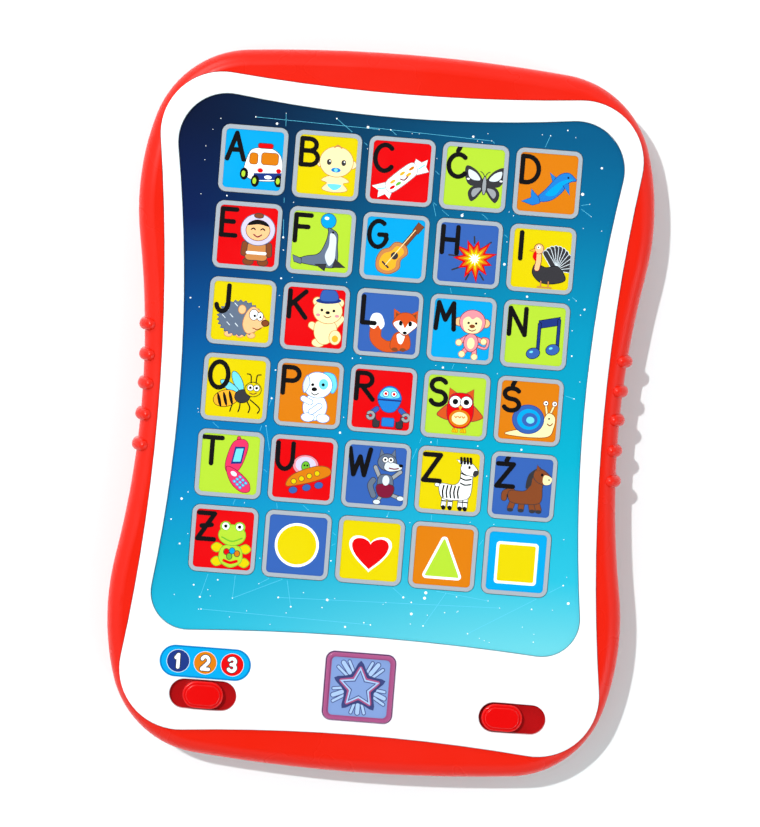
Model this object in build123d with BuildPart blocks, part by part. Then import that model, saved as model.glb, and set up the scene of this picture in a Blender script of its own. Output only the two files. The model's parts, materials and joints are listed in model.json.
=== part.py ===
from build123d import *
import math
import os

os.makedirs("parts", exist_ok=True)

# A play tablet with thirty printed keys, lying on its flat back.
# Millimetres. The origin is the middle of the back, +Y runs to the tablet's top
# edge and +Z comes out of the face.

# Heights of the case, from the back up
back_skin = 2.2
parting_z = 9.0
pan_bottom = 20.2
pan_floor = 21.8
ledge_bottom = 21.6
ledge_top = 22.8
frame_top = 24.0
plate_top = 25.0

# Walls and rounded edges of the case
back_wall = 2.2
frame_wall = 2.4
back_edge_radius = 7.0
frame_edge_radius = 5.0
ledge_width = 2.5
pan_wall = 1.6
recess_edge_radius = 0.5

# Outline of the red case: hollow at the waist, then a side lobe, a corner and the top
case_waist = 75.9
case_height = 114.5
case_waist_radius = 287.0
case_lobe_y = 65.4
case_lobe_radius = 83.0
case_corner_radius = 32.0
case_top_radius = 524.0

# Outline of the white face plate: hollow sides and ends joined by corners
plate_waist = 70.4
plate_height = 101.9
plate_waist_radius = 587.0
plate_corner_radius = 19.5
plate_top_radius = 597.0

# Outline of the printed screen: hollow on all four sides
screen_waist = 64.1
screen_waist_y = 3.0
screen_top = 94.4
screen_bottom = -70.5
screen_side_radius = 470.0
screen_top_radius = 424.0
screen_bottom_radius = 778.0
screen_top_corner_radius = 15.5
screen_bottom_corner_radius = 12.0

# Keys
key_width = 21.0
key_height = 21.3
key_radius = 2.6
key_pitch = 23.3
key_columns = [-2 * key_pitch, -key_pitch, 0, key_pitch, 2 * key_pitch]
key_rows = [77.6, 53.5, 29.4, 5.2, -18.9, -43.0]
key_bottom = 22.85
key_top = 24.05
key_field_depth = 0.2
key_border = 1.35
key_gap = 0.15
key_names = [
    ["a", "b", "c", "c_acute", "d"],
    ["e", "f", "g", "h", "i"],
    ["j", "k", "l", "m", "n"],
    ["o", "p", "r", "s", "s_acute"],
    ["t", "u", "w", "z", "z_acute"],
    ["z_dot", "circle", "heart", "triangle", "square"],
]

# Sheets under the keys
film = 0.2
overlay_bottom = pan_floor + 3 * film
overlay_top = 23.8
film_gap = 0.5
contact_hole = 12.0
tail_width = 20.0
tail_y = -66.0
tail_bend = 1.5
tail_end_z = 15.7

# Light button
button_y = -86.6
button_width = 21.8
button_height = 21.5
button_radius = 2.5
button_gap = 0.25
button_flange = 24.4
flange_bottom = 21.3
flange_top = 22.6
button_top = 25.7

# Sliders: the mode slider rests in the middle of its slot, the power slider at its left end
slider_x = 49.3
slider_y = -92.8
slot_length = 21.3
slot_width = 9.45
knob_length = 13.0
knob_width = 8.65
knob_travel = 3.3
shield_length = 29.5
shield_width = 11.0
shield_bottom = 21.5
shield_top = 22.6
lever_top = 21.2

# Printed pill with the mode numbers
label_y = -82.5
label_length = 29.0
label_width = 10.1
label_thickness = 0.15

# Grip nubs on both sides
nub_radius = 1.95
nub_rows = [23.2, 13.6, 4.4, -5.4, -15.1]
nub_path_radius = 4.75
nub_foot_z = 11.4

# Circuit board
board_bottom = 12.9
board_top = 14.5
board_half_width = 58.0
board_y0 = -104.0
board_y1 = -68.0
board_screws = [(-22, -78), (22, -78), (-22, -95), (22, -95)]

# Screws through the back into the face plate
case_screw_spots = [(-60, 86), (60, 86), (-56, 0), (56, 0), (-61, -61), (61, -61)]
boss_split = 12.0

# Battery bay and its door
cell_radius = 5.15
cell_length = 43.5
cell_pitch = 11.0
cell_z = 8.3
bay_y = 5.0
bay_half_length = 25.3
bay_half_width = 17.0
bay_top = 14.4
bay_wall = 2.0
door_half_width = 28.3
door_y0 = -15.3
door_y1 = 30.2
door_thickness = 2.1
door_gap = 0.2
flange_thickness = 1.4
door_screw_y = 26.2
tab_x = 16.0
tab_width = 8.0

# Speaker
speaker_y = 68.0
speaker_radius = 19.5


def at_height(edges, z):
    """The edges that lie flat at height z."""
    return edges.filter_by_position(Axis.Z, z - 0.01, z + 0.01)


def key_centres():
    """The middles of the thirty keys."""
    return [(x, y) for y in key_rows for x in key_columns]


def side_x(y):
    """Half width of the case beside the nubs."""
    return case_waist + y**2 / (2 * case_waist_radius)


def box_between(x0, x1, y0, y1, z0, z1):
    """A place and a size for a box given by its two ends on each axis."""
    place = Location(((x0 + x1) / 2, (y0 + y1) / 2, (z0 + z1) / 2))
    return place, (x1 - x0, y1 - y0, z1 - z0)


# ---------------------------------------------------------------- outlines
# An outline is a chain of arcs that meet without a kink. Each arc's circle is
# (centre, radius), with a negative radius where the outline is hollow.
def corner_circle(first, second, radius, near):
    """The circle of a given radius that touches two others, with its centre nearest to a point."""
    reach = abs(first[1] - radius)
    other_reach = abs(second[1] - radius)
    across = second[0] - first[0]
    gap = across.length
    along = (reach**2 - other_reach**2 + gap**2) / (2 * gap)
    aside = math.sqrt(reach**2 - along**2)
    foot = first[0] + across * (along / gap)
    square = Vector(-across.Y, across.X) * (aside / gap)
    centres = [foot + square, foot - square]
    return min(centres, key=lambda centre: (centre - near).length), radius


def add_arcs(circles, first_normal, last_normal, distance):
    """Draws the arcs of an outline, moved outwards by a distance."""
    normals = [first_normal]
    for one, other in zip(circles, circles[1:]):
        normals.append((one[0] - other[0]) * (1 / (other[1] - one[1])))
    normals.append(last_normal)
    for (centre, radius), normal, next_normal in zip(circles, normals, normals[1:]):
        middle = (normal + next_normal).normalized()
        ways = (normal, middle, next_normal)
        ThreePointArc(*[centre + way * (radius + distance) for way in ways])


def case_outline(distance=0.0):
    """Outline of the red case, moved outwards by a distance."""
    waist = (Vector(case_waist + case_waist_radius, 0), -case_waist_radius)
    top = (Vector(0, case_height - case_top_radius), case_top_radius)
    lobe_reach = math.sqrt((case_waist_radius + case_lobe_radius) ** 2 - case_lobe_y**2)
    lobe = (Vector(waist[0].X - lobe_reach, case_lobe_y), case_lobe_radius)
    corner = corner_circle(lobe, top, case_corner_radius, Vector(55, 88))
    with BuildSketch() as outline:
        with BuildLine():
            add_arcs([waist, lobe, corner, top], Vector(1, 0), Vector(0, 1), distance)
            mirror(about=Plane.YZ)
            mirror(about=Plane.XZ)
        make_face()
    return outline.sketch


def plate_outline(distance=0.0):
    """Outline of the white face plate, moved outwards by a distance."""
    waist = (Vector(plate_waist + plate_waist_radius, 0), -plate_waist_radius)
    top = (Vector(0, plate_height + plate_top_radius), -plate_top_radius)
    corner = corner_circle(waist, top, plate_corner_radius, Vector(58, 87))
    with BuildSketch() as outline:
        with BuildLine():
            add_arcs([waist, corner, top], Vector(1, 0), Vector(0, 1), distance)
            mirror(about=Plane.YZ)
            mirror(about=Plane.XZ)
        make_face()
    return outline.sketch


def screen_outline(distance=0.0):
    """Outline of the printed screen, moved outwards by a distance."""
    bottom = (Vector(0, screen_bottom - screen_bottom_radius), -screen_bottom_radius)
    side = (Vector(screen_waist + screen_side_radius, screen_waist_y), -screen_side_radius)
    top = (Vector(0, screen_top + screen_top_radius), -screen_top_radius)
    low_corner = corner_circle(bottom, side, screen_bottom_corner_radius, Vector(57, -60))
    high_corner = corner_circle(side, top, screen_top_corner_radius, Vector(56, 84))
    with BuildSketch() as outline:
        with BuildLine():
            add_arcs([bottom, low_corner, side, high_corner, top], Vector(0, -1), Vector(0, 1), distance)
            mirror(about=Plane.YZ)
        make_face()
    return outline.sketch


# ---------------------------------------------------------------- rear shell
with BuildPart() as rear_shell:
    with BuildSketch():
        add(case_outline())
    extrude(amount=parting_z)
    fillet(at_height(rear_shell.edges(), 0), back_edge_radius)
    with BuildSketch(Plane.XY.offset(back_skin)):
        add(case_outline(-back_wall))
    extrude(amount=parting_z, mode=Mode.SUBTRACT)
    fillet(at_height(rear_shell.edges(), back_skin), back_edge_radius - back_wall)
    # Tongue that fits inside the front frame
    with BuildSketch(Plane.XY.offset(parting_z)):
        add(case_outline(-1.3))
        add(case_outline(-back_wall), mode=Mode.SUBTRACT)
    extrude(amount=1.3)
    # Battery bay: rim round the opening, walls, roof and the boss for the door screw
    place, size = box_between(
        -30.5, 30.5, door_y0 - 2.2, door_y1 + 2.2, back_skin, back_skin + flange_thickness
    )
    with Locations(place):
        Box(*size)
    place, size = box_between(
        -bay_half_length - bay_wall,
        bay_half_length + bay_wall,
        bay_y - bay_half_width - bay_wall,
        bay_y + bay_half_width + bay_wall,
        back_skin,
        bay_top + 1.6,
    )
    with Locations(place):
        Box(*size)
    with Locations((0, door_screw_y, 5.6)):
        Cylinder(3.4, 6.8)
    place, size = box_between(
        -bay_half_length,
        bay_half_length,
        bay_y - bay_half_width,
        bay_y + bay_half_width,
        back_skin,
        bay_top,
    )
    with Locations(place):
        Box(*size, mode=Mode.SUBTRACT)
    place, size = box_between(
        -door_half_width - door_gap,
        door_half_width + door_gap,
        door_y0 - door_gap,
        door_y1 + door_gap,
        -1,
        back_skin,
    )
    with Locations(place):
        Box(*size, mode=Mode.SUBTRACT)
    # Pockets in which the door's two tabs turn
    for x in (-tab_x, tab_x):
        place, size = box_between(
            x - tab_width / 2 - 0.3,
            x + tab_width / 2 + 0.3,
            door_y0 - 3.0,
            door_y0 + 3.9,
            back_skin,
            4.6,
        )
        with Locations(place):
            Box(*size, mode=Mode.SUBTRACT)
    with Locations((0, door_screw_y, 5.2)):
        Cylinder(1.65, 6.2, mode=Mode.SUBTRACT)
    # Slits in the roof for the two solder tabs
    for x, y in ((-25.1, -6), (25.1, 16)):
        with Locations((x, y, bay_top + 0.8)):
            Box(0.9, 4.4, 2.4, mode=Mode.SUBTRACT)
    # Bosses for the case screws
    with Locations(*[(x, y, (back_skin + boss_split) / 2) for x, y in case_screw_spots]):
        Cylinder(3.6, boss_split - back_skin)
    with Locations(*[(x, y, boss_split / 2) for x, y in case_screw_spots]):
        Cylinder(1.5, boss_split + 1, mode=Mode.SUBTRACT)
    with Locations(*[(x, y, 3.0) for x, y in case_screw_spots]):
        Cylinder(2.8, 6.0, mode=Mode.SUBTRACT)
    # Speaker seat, its three screw posts and the sound holes
    with Locations((0, speaker_y, back_skin + 0.6)):
        Cylinder(speaker_radius + 1.7, 1.2)
        Cylinder(speaker_radius + 0.2, 1.2, mode=Mode.SUBTRACT)
    with Locations((0, speaker_y, back_skin + 0.6)):
        with PolarLocations(speaker_radius + 2.1, 3, start_angle=90):
            Cylinder(1.9, 1.2)
    with Locations((0, speaker_y, 2.2)):
        with PolarLocations(speaker_radius + 2.1, 3, start_angle=90):
            Cylinder(1.0, 2.5, mode=Mode.SUBTRACT)
    with Locations((0, speaker_y, back_skin / 2)):
        Cylinder(1.2, 4, mode=Mode.SUBTRACT)
        for ring in (1, 2, 3):
            with PolarLocations(4.2 * ring, 6 * ring):
                Cylinder(1.2, 4, mode=Mode.SUBTRACT)
rear_shell.part.label = "rear_shell"
export_step(rear_shell.part, "parts/rear_shell.step")

# ---------------------------------------------------------------- front frame
# Grip nubs: rounded bars that follow the side up and over its rounded edge
with BuildPart() as grip_nubs:
    for side in (-1, 1):
        for y in nub_rows:
            axis_x = side * (side_x(y) - frame_edge_radius + nub_path_radius)
            with BuildLine(Plane((0, y, 0), x_dir=(1, 0, 0), z_dir=(0, -1, 0))) as nub_path:
                foot = Line((axis_x, nub_foot_z), (axis_x, frame_top - frame_edge_radius))
                JernArc(foot @ 1, (0, 1), nub_path_radius, side * 50)
            with BuildSketch(Plane((axis_x, y, nub_foot_z))):
                Circle(nub_radius)
            sweep(path=nub_path.line)
            with Locations(nub_path.line @ 0, nub_path.line @ 1):
                Sphere(nub_radius)

with BuildPart() as front_frame:
    with BuildSketch(Plane.XY.offset(parting_z)):
        add(case_outline())
    extrude(amount=frame_top - parting_z)
    fillet(at_height(front_frame.edges(), frame_top), frame_edge_radius)
    add(grip_nubs.part)
    with BuildSketch(Plane.XY.offset(parting_z)):
        add(case_outline(-frame_wall))
    extrude(amount=ledge_bottom - parting_z, mode=Mode.SUBTRACT)
    fillet(at_height(front_frame.edges(), ledge_bottom), frame_edge_radius - frame_wall)
    # Rebate for the rear shell's tongue
    with BuildSketch(Plane.XY.offset(parting_z)):
        add(case_outline(-1.2))
    extrude(amount=1.4, mode=Mode.SUBTRACT)
    # Pocket for the face plate and the ledge it rests on
    with BuildSketch(Plane.XY.offset(ledge_top)):
        add(plate_outline(0.15))
    extrude(amount=frame_top, mode=Mode.SUBTRACT)
    with BuildSketch(Plane.XY.offset(ledge_bottom - 0.1)):
        add(plate_outline(-ledge_width))
    extrude(amount=frame_top, mode=Mode.SUBTRACT)
front_frame.part.label = "front_frame"
export_step(front_frame.part, "parts/front_frame.step")

# ---------------------------------------------------------------- face plate
with BuildPart() as face_plate:
    with BuildSketch(Plane.XY.offset(ledge_top)):
        add(plate_outline())
    extrude(amount=plate_top - ledge_top)
    fillet(at_height(face_plate.edges(), plate_top), 0.8)
    with BuildSketch(Plane.XY.offset(pan_bottom)):
        add(screen_outline(pan_wall))
    extrude(amount=ledge_top - pan_bottom)
    with BuildSketch(Plane.XY.offset(pan_floor)):
        add(screen_outline())
    extrude(amount=10, mode=Mode.SUBTRACT)
    # Openings for the light button and the two sliders
    with BuildSketch(Plane.XY.offset(ledge_top)):
        with Locations((0, button_y)):
            RectangleRounded(
                button_width + 2 * button_gap,
                button_height + 2 * button_gap,
                button_radius + button_gap,
            )
        with Locations((-slider_x, slider_y), (slider_x, slider_y)):
            SlotOverall(slot_length, slot_width)
    extrude(amount=10, mode=Mode.SUBTRACT)
    top_face = face_plate.faces().sort_by(Axis.Z)[-1]
    fillet([edge for wire in top_face.inner_wires() for edge in wire.edges()], recess_edge_radius)
    # Slot through which the membrane's tail goes down
    with Locations((0, tail_y + 0.2, (pan_bottom + pan_floor) / 2)):
        Box(tail_width + 4, 3.2, 2, mode=Mode.SUBTRACT)
    # Bosses for the case screws, under the pan
    with Locations(*[(x, y, (boss_split + pan_bottom) / 2 + 0.05) for x, y in case_screw_spots]):
        Cylinder(3.0, pan_bottom - boss_split - 0.1)
    with Locations(*[(x, y, 15.5) for x, y in case_screw_spots]):
        Cylinder(1.3, 7.2, mode=Mode.SUBTRACT)
    # Bosses for the circuit board
    with Locations(*[(x, y, (board_top + ledge_top) / 2) for x, y in board_screws]):
        Cylinder(2.6, ledge_top - board_top)
    with Locations(*[(x, y, 17.5) for x, y in board_screws]):
        Cylinder(0.95, 6.1, mode=Mode.SUBTRACT)
    # Lipped guides that carry the sliders
    for x in (-slider_x, slider_x):
        for side in (-1, 1):
            with Locations((x, slider_y + side * 6.5, 21.75)):
                Box(26, 1.0, 2.1)
            with Locations((x, slider_y + side * 5.7, 21.0)):
                Box(26, 1.6, 0.6)
face_plate.part.label = "face_plate"
export_step(face_plate.part, "parts/face_plate.step")

# ---------------------------------------------------------------- membrane sheets
with BuildPart() as membrane_lower_film:
    with BuildSketch(Plane.XY.offset(pan_floor)):
        add(screen_outline(-film_gap))
        with Locations((0, tail_y - 8)):
            Rectangle(tail_width + 2, 20, mode=Mode.SUBTRACT)
    extrude(amount=film)
    # Tail bent down through the pan to the connector on the board
    with BuildSketch(Plane.YZ):
        with BuildLine():
            FilletPolyline(
                (tail_y + 3.5, pan_floor + film / 2),
                (tail_y, pan_floor + film / 2),
                (tail_y, tail_end_z),
                (tail_y - 6.3, tail_end_z),
                radius=tail_bend,
            )
        trace(line_width=film)
    extrude(amount=tail_width / 2, both=True)
membrane_lower_film.part.label = "membrane_lower_film"
export_step(membrane_lower_film.part, "parts/membrane_lower_film.step")

with BuildPart() as membrane_separator:
    with BuildSketch(Plane.XY.offset(pan_floor + film)):
        add(screen_outline(-film_gap))
        with Locations(*key_centres()):
            Circle(contact_hole / 2, mode=Mode.SUBTRACT)
    extrude(amount=film)
membrane_separator.part.label = "membrane_separator"
export_step(membrane_separator.part, "parts/membrane_separator.step")

with BuildPart() as membrane_upper_film:
    with BuildSketch(Plane.XY.offset(pan_floor + 2 * film)):
        add(screen_outline(-film_gap))
    extrude(amount=film)
membrane_upper_film.part.label = "membrane_upper_film"
export_step(membrane_upper_film.part, "parts/membrane_upper_film.step")

with BuildPart() as graphic_overlay:
    with BuildSketch(Plane.XY.offset(overlay_bottom)):
        add(screen_outline(-0.15))
        with Locations(*key_centres()):
            RectangleRounded(
                key_width + 2 * key_gap,
                key_height + 2 * key_gap,
                key_radius + key_gap,
                mode=Mode.SUBTRACT,
            )
    extrude(amount=overlay_top - overlay_bottom)
graphic_overlay.part.label = "graphic_overlay"
export_step(graphic_overlay.part, "parts/graphic_overlay.step")

# ---------------------------------------------------------------- keys
for key_y, row_names in zip(key_rows, key_names):
    for key_x, key_name in zip(key_columns, row_names):
        with BuildPart() as key:
            with BuildSketch(Plane((key_x, key_y, key_bottom))):
                RectangleRounded(key_width, key_height, key_radius)
            extrude(amount=key_top - key_bottom)
            fillet(at_height(key.edges(), key_top), 0.2)
            with BuildSketch(Plane((key_x, key_y, key_top - key_field_depth))):
                RectangleRounded(
                    key_width - 2 * key_border,
                    key_height - 2 * key_border,
                    key_radius - key_border,
                )
            extrude(amount=1, mode=Mode.SUBTRACT)
        key.part.label = "key_" + key_name
        export_step(key.part, "parts/key_" + key_name + ".step")

# ---------------------------------------------------------------- light button
star_points = []
for corner in range(10):
    reach = 7.6 if corner % 2 == 0 else 3.9
    angle = math.radians(90 + 36 * corner)
    star_points.append((reach * math.cos(angle), reach * math.sin(angle)))

with BuildPart() as light_button:
    with BuildSketch(Plane((0, button_y, flange_bottom))):
        RectangleRounded(button_flange, button_flange, 3.2)
    extrude(amount=flange_top - flange_bottom)
    with BuildSketch(Plane((0, button_y, flange_top))):
        RectangleRounded(button_width, button_height, button_radius)
    extrude(amount=button_top - flange_top)
    fillet(at_height(light_button.edges(), button_top), 0.45)
    # Hollow from below, with a post down to the tact switch
    with BuildSketch(Plane((0, button_y, flange_bottom))):
        RectangleRounded(18.2, 18.2, 1.2)
    extrude(amount=2.7, mode=Mode.SUBTRACT)
    with Locations((0, button_y, 21.9)):
        Cylinder(2.0, 5.2)
    # Sunk field with a raised star
    with BuildSketch(Plane((0, button_y, button_top - 0.6))):
        RectangleRounded(button_width - 2.2, button_height - 2.2, button_radius - 0.8)
    extrude(amount=1, mode=Mode.SUBTRACT)
    with BuildSketch(Plane((0, button_y, button_top - 0.6))) as star:
        with BuildLine():
            Polyline(*star_points, close=True)
        make_face()
        fillet(star.vertices(), 0.7)
    extrude(amount=0.55)
light_button.part.label = "light_button"
export_step(light_button.part, "parts/light_button.step")

with BuildPart() as tact_plunger:
    with Locations((0, button_y, 17.9)):
        Cylinder(1.7, 2.6)
tact_plunger.part.label = "tact_plunger"
export_step(tact_plunger.part, "parts/tact_plunger.step")

# ---------------------------------------------------------------- sliders
for slider_name, knob_x in (("mode", -slider_x), ("power", slider_x - knob_travel)):
    with BuildPart() as knob:
        with BuildSketch(Plane((knob_x, slider_y, shield_bottom))):
            SlotOverall(shield_length, shield_width)
        extrude(amount=shield_top - shield_bottom)
        with BuildSketch(Plane((knob_x, slider_y, shield_top))):
            SlotOverall(knob_length, knob_width)
        extrude(amount=25.7 - shield_top)
        fillet(at_height(knob.edges(), 25.7), 0.6)
        with BuildSketch(Plane((knob_x, slider_y, 25.6))):
            SlotOverall(knob_length - 2.0, knob_width - 2.0)
        extrude(amount=0.8)
        fillet(at_height(knob.edges(), 26.4), 0.45)
        # Fork that takes the switch lever along
        with Locations((knob_x - 2.35, slider_y, 20.8), (knob_x + 2.35, slider_y, 20.8)):
            Box(1.5, 5.0, 1.5)
    knob.part.label = slider_name + "_knob"
    export_step(knob.part, "parts/" + slider_name + "_knob.step")

    with BuildPart() as switch_lever:
        with Locations((knob_x, slider_y, (16.6 + lever_top) / 2)):
            Box(3.0, 2.0, lever_top - 16.6)
    switch_lever.part.label = slider_name + "_switch_lever"
    export_step(switch_lever.part, "parts/" + slider_name + "_switch_lever.step")

with BuildPart() as mode_label:
    with BuildSketch(Plane((-slider_x, label_y, plate_top))):
        SlotOverall(label_length, label_width)
    extrude(amount=label_thickness)
mode_label.part.label = "mode_label"
export_step(mode_label.part, "parts/mode_label.step")

# ---------------------------------------------------------------- circuit board and what is on it
with BuildPart() as main_board:
    place, size = box_between(
        -board_half_width, board_half_width, board_y0, board_y1, board_bottom, board_top
    )
    with Locations(place):
        Box(*size)
    fillet(main_board.edges().filter_by(Axis.Z), 3)
    with Locations(*[(x, y, board_bottom) for x, y in board_screws]):
        Cylinder(1.2, 6, mode=Mode.SUBTRACT)
main_board.part.label = "main_board"
export_step(main_board.part, "parts/main_board.step")

with BuildPart() as switch_bodies:
    with Locations((-slider_x, slider_y, 17.0), (slider_x, slider_y, 17.0)):
        Box(14.4, 7.2, 5.0)
    with Locations((-slider_x, slider_y, 18.5), (slider_x, slider_y, 18.5)):
        Box(10.4, 2.4, 4.4, mode=Mode.SUBTRACT)
    with Locations((0, button_y, 16.25)):
        Box(6.0, 6.0, 3.5)
    with Locations((0, button_y, 17.0)):
        Cylinder(1.9, 4.0, mode=Mode.SUBTRACT)
switch_bodies.part.label = "switch_bodies"
export_step(switch_bodies.part, "parts/switch_bodies.step")

with BuildPart() as leds:
    with Locations((-6.5, button_y, 15.0), (6.5, button_y, 15.0)):
        Cylinder(1.8, 1.0)
    with Locations((-6.5, button_y, 16.75), (6.5, button_y, 16.75)):
        Cylinder(1.5, 2.9)
    with Locations((-6.5, button_y, 18.2), (6.5, button_y, 18.2)):
        Sphere(1.5)
leds.part.label = "leds"
export_step(leds.part, "parts/leds.step")

with BuildPart() as sound_chip:
    with Locations((-31, -86, board_top - 7.1)):
        Sphere(9.0)
    place, size = box_between(-42, -20, -97, -75, board_top - 20, board_top)
    with Locations(place):
        Box(*size, mode=Mode.SUBTRACT)
sound_chip.part.label = "sound_chip"
export_step(sound_chip.part, "parts/sound_chip.step")

with BuildPart() as board_components:
    with Locations((38, -79, 17.75), (45, -79, 17.75)):
        Cylinder(2.5, 6.5)
    with Locations((-44, -76, 16.0)):
        Box(10, 4, 3)
    with Locations((-50, -82, 15.0), (-46, -82, 15.0), (-42, -82, 15.0)):
        Box(1.6, 3.0, 1.0)
    with Locations((52, -80, 15.0), (52, -76, 15.0), (32, -76, 15.0), (32, -84, 15.0)):
        Box(3.0, 1.6, 1.0)
board_components.part.label = "board_components"
export_step(board_components.part, "parts/board_components.step")

with BuildPart() as ribbon_connector:
    with Locations((0, -71.5, 15.8)):
        Box(26, 5, 2.6)
    with Locations((0, -70.0, tail_end_z)):
        Box(tail_width + 1, 5, 0.4, mode=Mode.SUBTRACT)
ribbon_connector.part.label = "ribbon_connector"
export_step(ribbon_connector.part, "parts/ribbon_connector.step")

# ---------------------------------------------------------------- speaker
speaker_axis = Axis((0, speaker_y, 0), (0, 0, 1))
speaker_section = Plane((0, speaker_y, 0), x_dir=(1, 0, 0), z_dir=(0, -1, 0))

with BuildPart() as speaker_basket:
    with BuildSketch(speaker_section):
        with BuildLine():
            Polyline(
                (16.8, 2.2),
                (speaker_radius, 2.2),
                (speaker_radius, 3.4),
                (17.4, 3.4),
                (10.6, 9.6),
                (6.0, 9.6),
                (6.0, 8.8),
                (10.2, 8.8),
                close=True,
            )
        make_face()
    revolve(axis=speaker_axis)
    with Locations((0, speaker_y - 15.8, 5.2)):
        Box(8, 3.4, 1.2)
speaker_basket.part.label = "speaker_basket"
export_step(speaker_basket.part, "parts/speaker_basket.step")

with BuildPart() as speaker_cone:
    with BuildSketch(speaker_section):
        with BuildLine():
            Polyline(
                (16.2, 2.3),
                (16.3, 2.65),
                (14.6, 3.3),
                (5.0, 7.9),
                (0, 6.4),
                (0, 6.0),
                (4.9, 7.5),
                (14.4, 2.9),
                close=True,
            )
        make_face()
    revolve(axis=speaker_axis)
speaker_cone.part.label = "speaker_cone"
export_step(speaker_cone.part, "parts/speaker_cone.step")

with BuildPart() as speaker_magnet:
    with Locations((0, speaker_y, 11.6)):
        Cylinder(9.0, 4.0)
    with Locations((0, speaker_y, 14.1)):
        Cylinder(9.6, 1.0)
speaker_magnet.part.label = "speaker_magnet"
export_step(speaker_magnet.part, "parts/speaker_magnet.step")

# ---------------------------------------------------------------- batteries
# Plus ends, from the lowest cell up: left, right, left
with BuildPart() as battery_cells:
    for number, plus_side in enumerate((-1, 1, -1)):
        cell_y = bay_y + (number - 1) * cell_pitch
        cell_x = plus_side * (23.9 - cell_length / 2)
        with Locations(Location((cell_x, cell_y, cell_z), (0, 90, 0))):
            Cylinder(cell_radius, cell_length)
        with Locations(Location((plus_side * 24.4, cell_y, cell_z), (0, 90, 0))):
            Cylinder(1.9, 1.0)
battery_cells.part.label = "battery_cells"
export_step(battery_cells.part, "parts/battery_cells.step")

with BuildPart() as contact_spring:
    with BuildLine() as coil:
        Helix(pitch=1.35, height=4.5, radius=2.9)
    with BuildSketch(Plane(coil.line @ 0, z_dir=coil.line % 0)):
        Circle(0.35)
    sweep(path=coil.line, is_frenet=True)

with BuildPart() as battery_contacts:
    contact_plates = [(-1, -6, 9.4), (-1, 10.5, 20.4), (1, -0.5, 20.4), (1, 16, 9.4)]
    for side, plate_y, plate_width in contact_plates:
        with Locations((side * 25.12, plate_y, cell_z)):
            Box(0.3, plate_width, 9.4)
    for side, tab_y in ((-1, -6), (1, 16)):
        with Locations((side * 25.12, tab_y, 15.0)):
            Box(0.3, 3.6, 5.0)
    with Locations(
        Location((-24.8, 5, cell_z), (0, 90, 0)),
        Location((24.8, -6, cell_z), (0, -90, 0)),
        Location((24.8, 16, cell_z), (0, -90, 0)),
    ):
        add(contact_spring.part)
battery_contacts.part.label = "battery_contacts"
export_step(battery_contacts.part, "parts/battery_contacts.step")

# ---------------------------------------------------------------- wires
# Two from the speaker, then one from each of the battery contacts with a solder tab
wire_routes = [
    [
        (-2.5, 49.8, 5.3),
        (-2.5, 44, 6),
        (-34, 38, 7),
        (-34, -60, 8),
        (-34, -66, 17),
        (-34, -71.5, 17),
        (-34, -73, 15.2),
    ],
    [
        (2.5, 49.8, 5.3),
        (2.5, 41, 6),
        (-31.4, 34, 7),
        (-31.4, -60, 8),
        (-31.4, -66, 17),
        (-31.4, -71.5, 17),
        (-31.4, -73, 15.2),
    ],
    [
        (-25.9, -6, 17.2),
        (-28.5, -8, 17.6),
        (-28.5, -66, 17.6),
        (-28.5, -71.5, 17.6),
        (-28.5, -73, 15.2),
    ],
    [
        (25.9, 16, 17.2),
        (30, 14, 17.6),
        (30, -66, 17.6),
        (30, -71.5, 17.6),
        (30, -73, 15.2),
    ],
]
with BuildPart() as lead_wires:
    for route in wire_routes:
        with BuildLine() as wire:
            Polyline(*route)
        with BuildSketch(Plane(wire.line @ 0, z_dir=wire.line % 0)):
            Circle(0.55)
        sweep(path=wire.line, transition=Transition.ROUND)
lead_wires.part.label = "lead_wires"
export_step(lead_wires.part, "parts/lead_wires.step")

# ---------------------------------------------------------------- battery door
with BuildPart() as battery_door:
    place, size = box_between(-door_half_width, door_half_width, door_y0, door_y1, 0, door_thickness)
    with Locations(place):
        Box(*size)
    fillet(battery_door.edges().filter_by(Axis.Z), 0.8)
    for x in (-tab_x, tab_x):
        place, size = box_between(
            x - tab_width / 2, x + tab_width / 2, door_y0 + 0.2, door_y0 + 2.0, 2.0, 3.5
        )
        with Locations(place):
            Box(*size)
        place, size = box_between(
            x - tab_width / 2, x + tab_width / 2, door_y0 - 2.5, door_y0 + 0.3, 2.3, 3.5
        )
        with Locations(place):
            Box(*size)
    # Thumb grooves and the hole for the captive screw
    with Locations((0, 7, 0), (0, 10, 0), (0, 13, 0)):
        Box(18, 1.2, 1.0, mode=Mode.SUBTRACT)
    with Locations((0, door_screw_y, 0)):
        Cylinder(1.5, 10, mode=Mode.SUBTRACT)
        Cylinder(2.7, 2.4, mode=Mode.SUBTRACT)
battery_door.part.label = "battery_door"
export_step(battery_door.part, "parts/battery_door.step")

with BuildPart() as battery_door_screw:
    with Locations((0, door_screw_y, 0.6)):
        Cylinder(2.45, 1.0)
    with Locations((0, door_screw_y, 3.3)):
        Cylinder(1.3, 4.4)
    with Locations((0, door_screw_y, 0.3)):
        Box(3.2, 0.7, 0.8, mode=Mode.SUBTRACT)
        Box(0.7, 3.2, 0.8, mode=Mode.SUBTRACT)
battery_door_screw.part.label = "battery_door_screw"
export_step(battery_door_screw.part, "parts/battery_door_screw.step")

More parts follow.
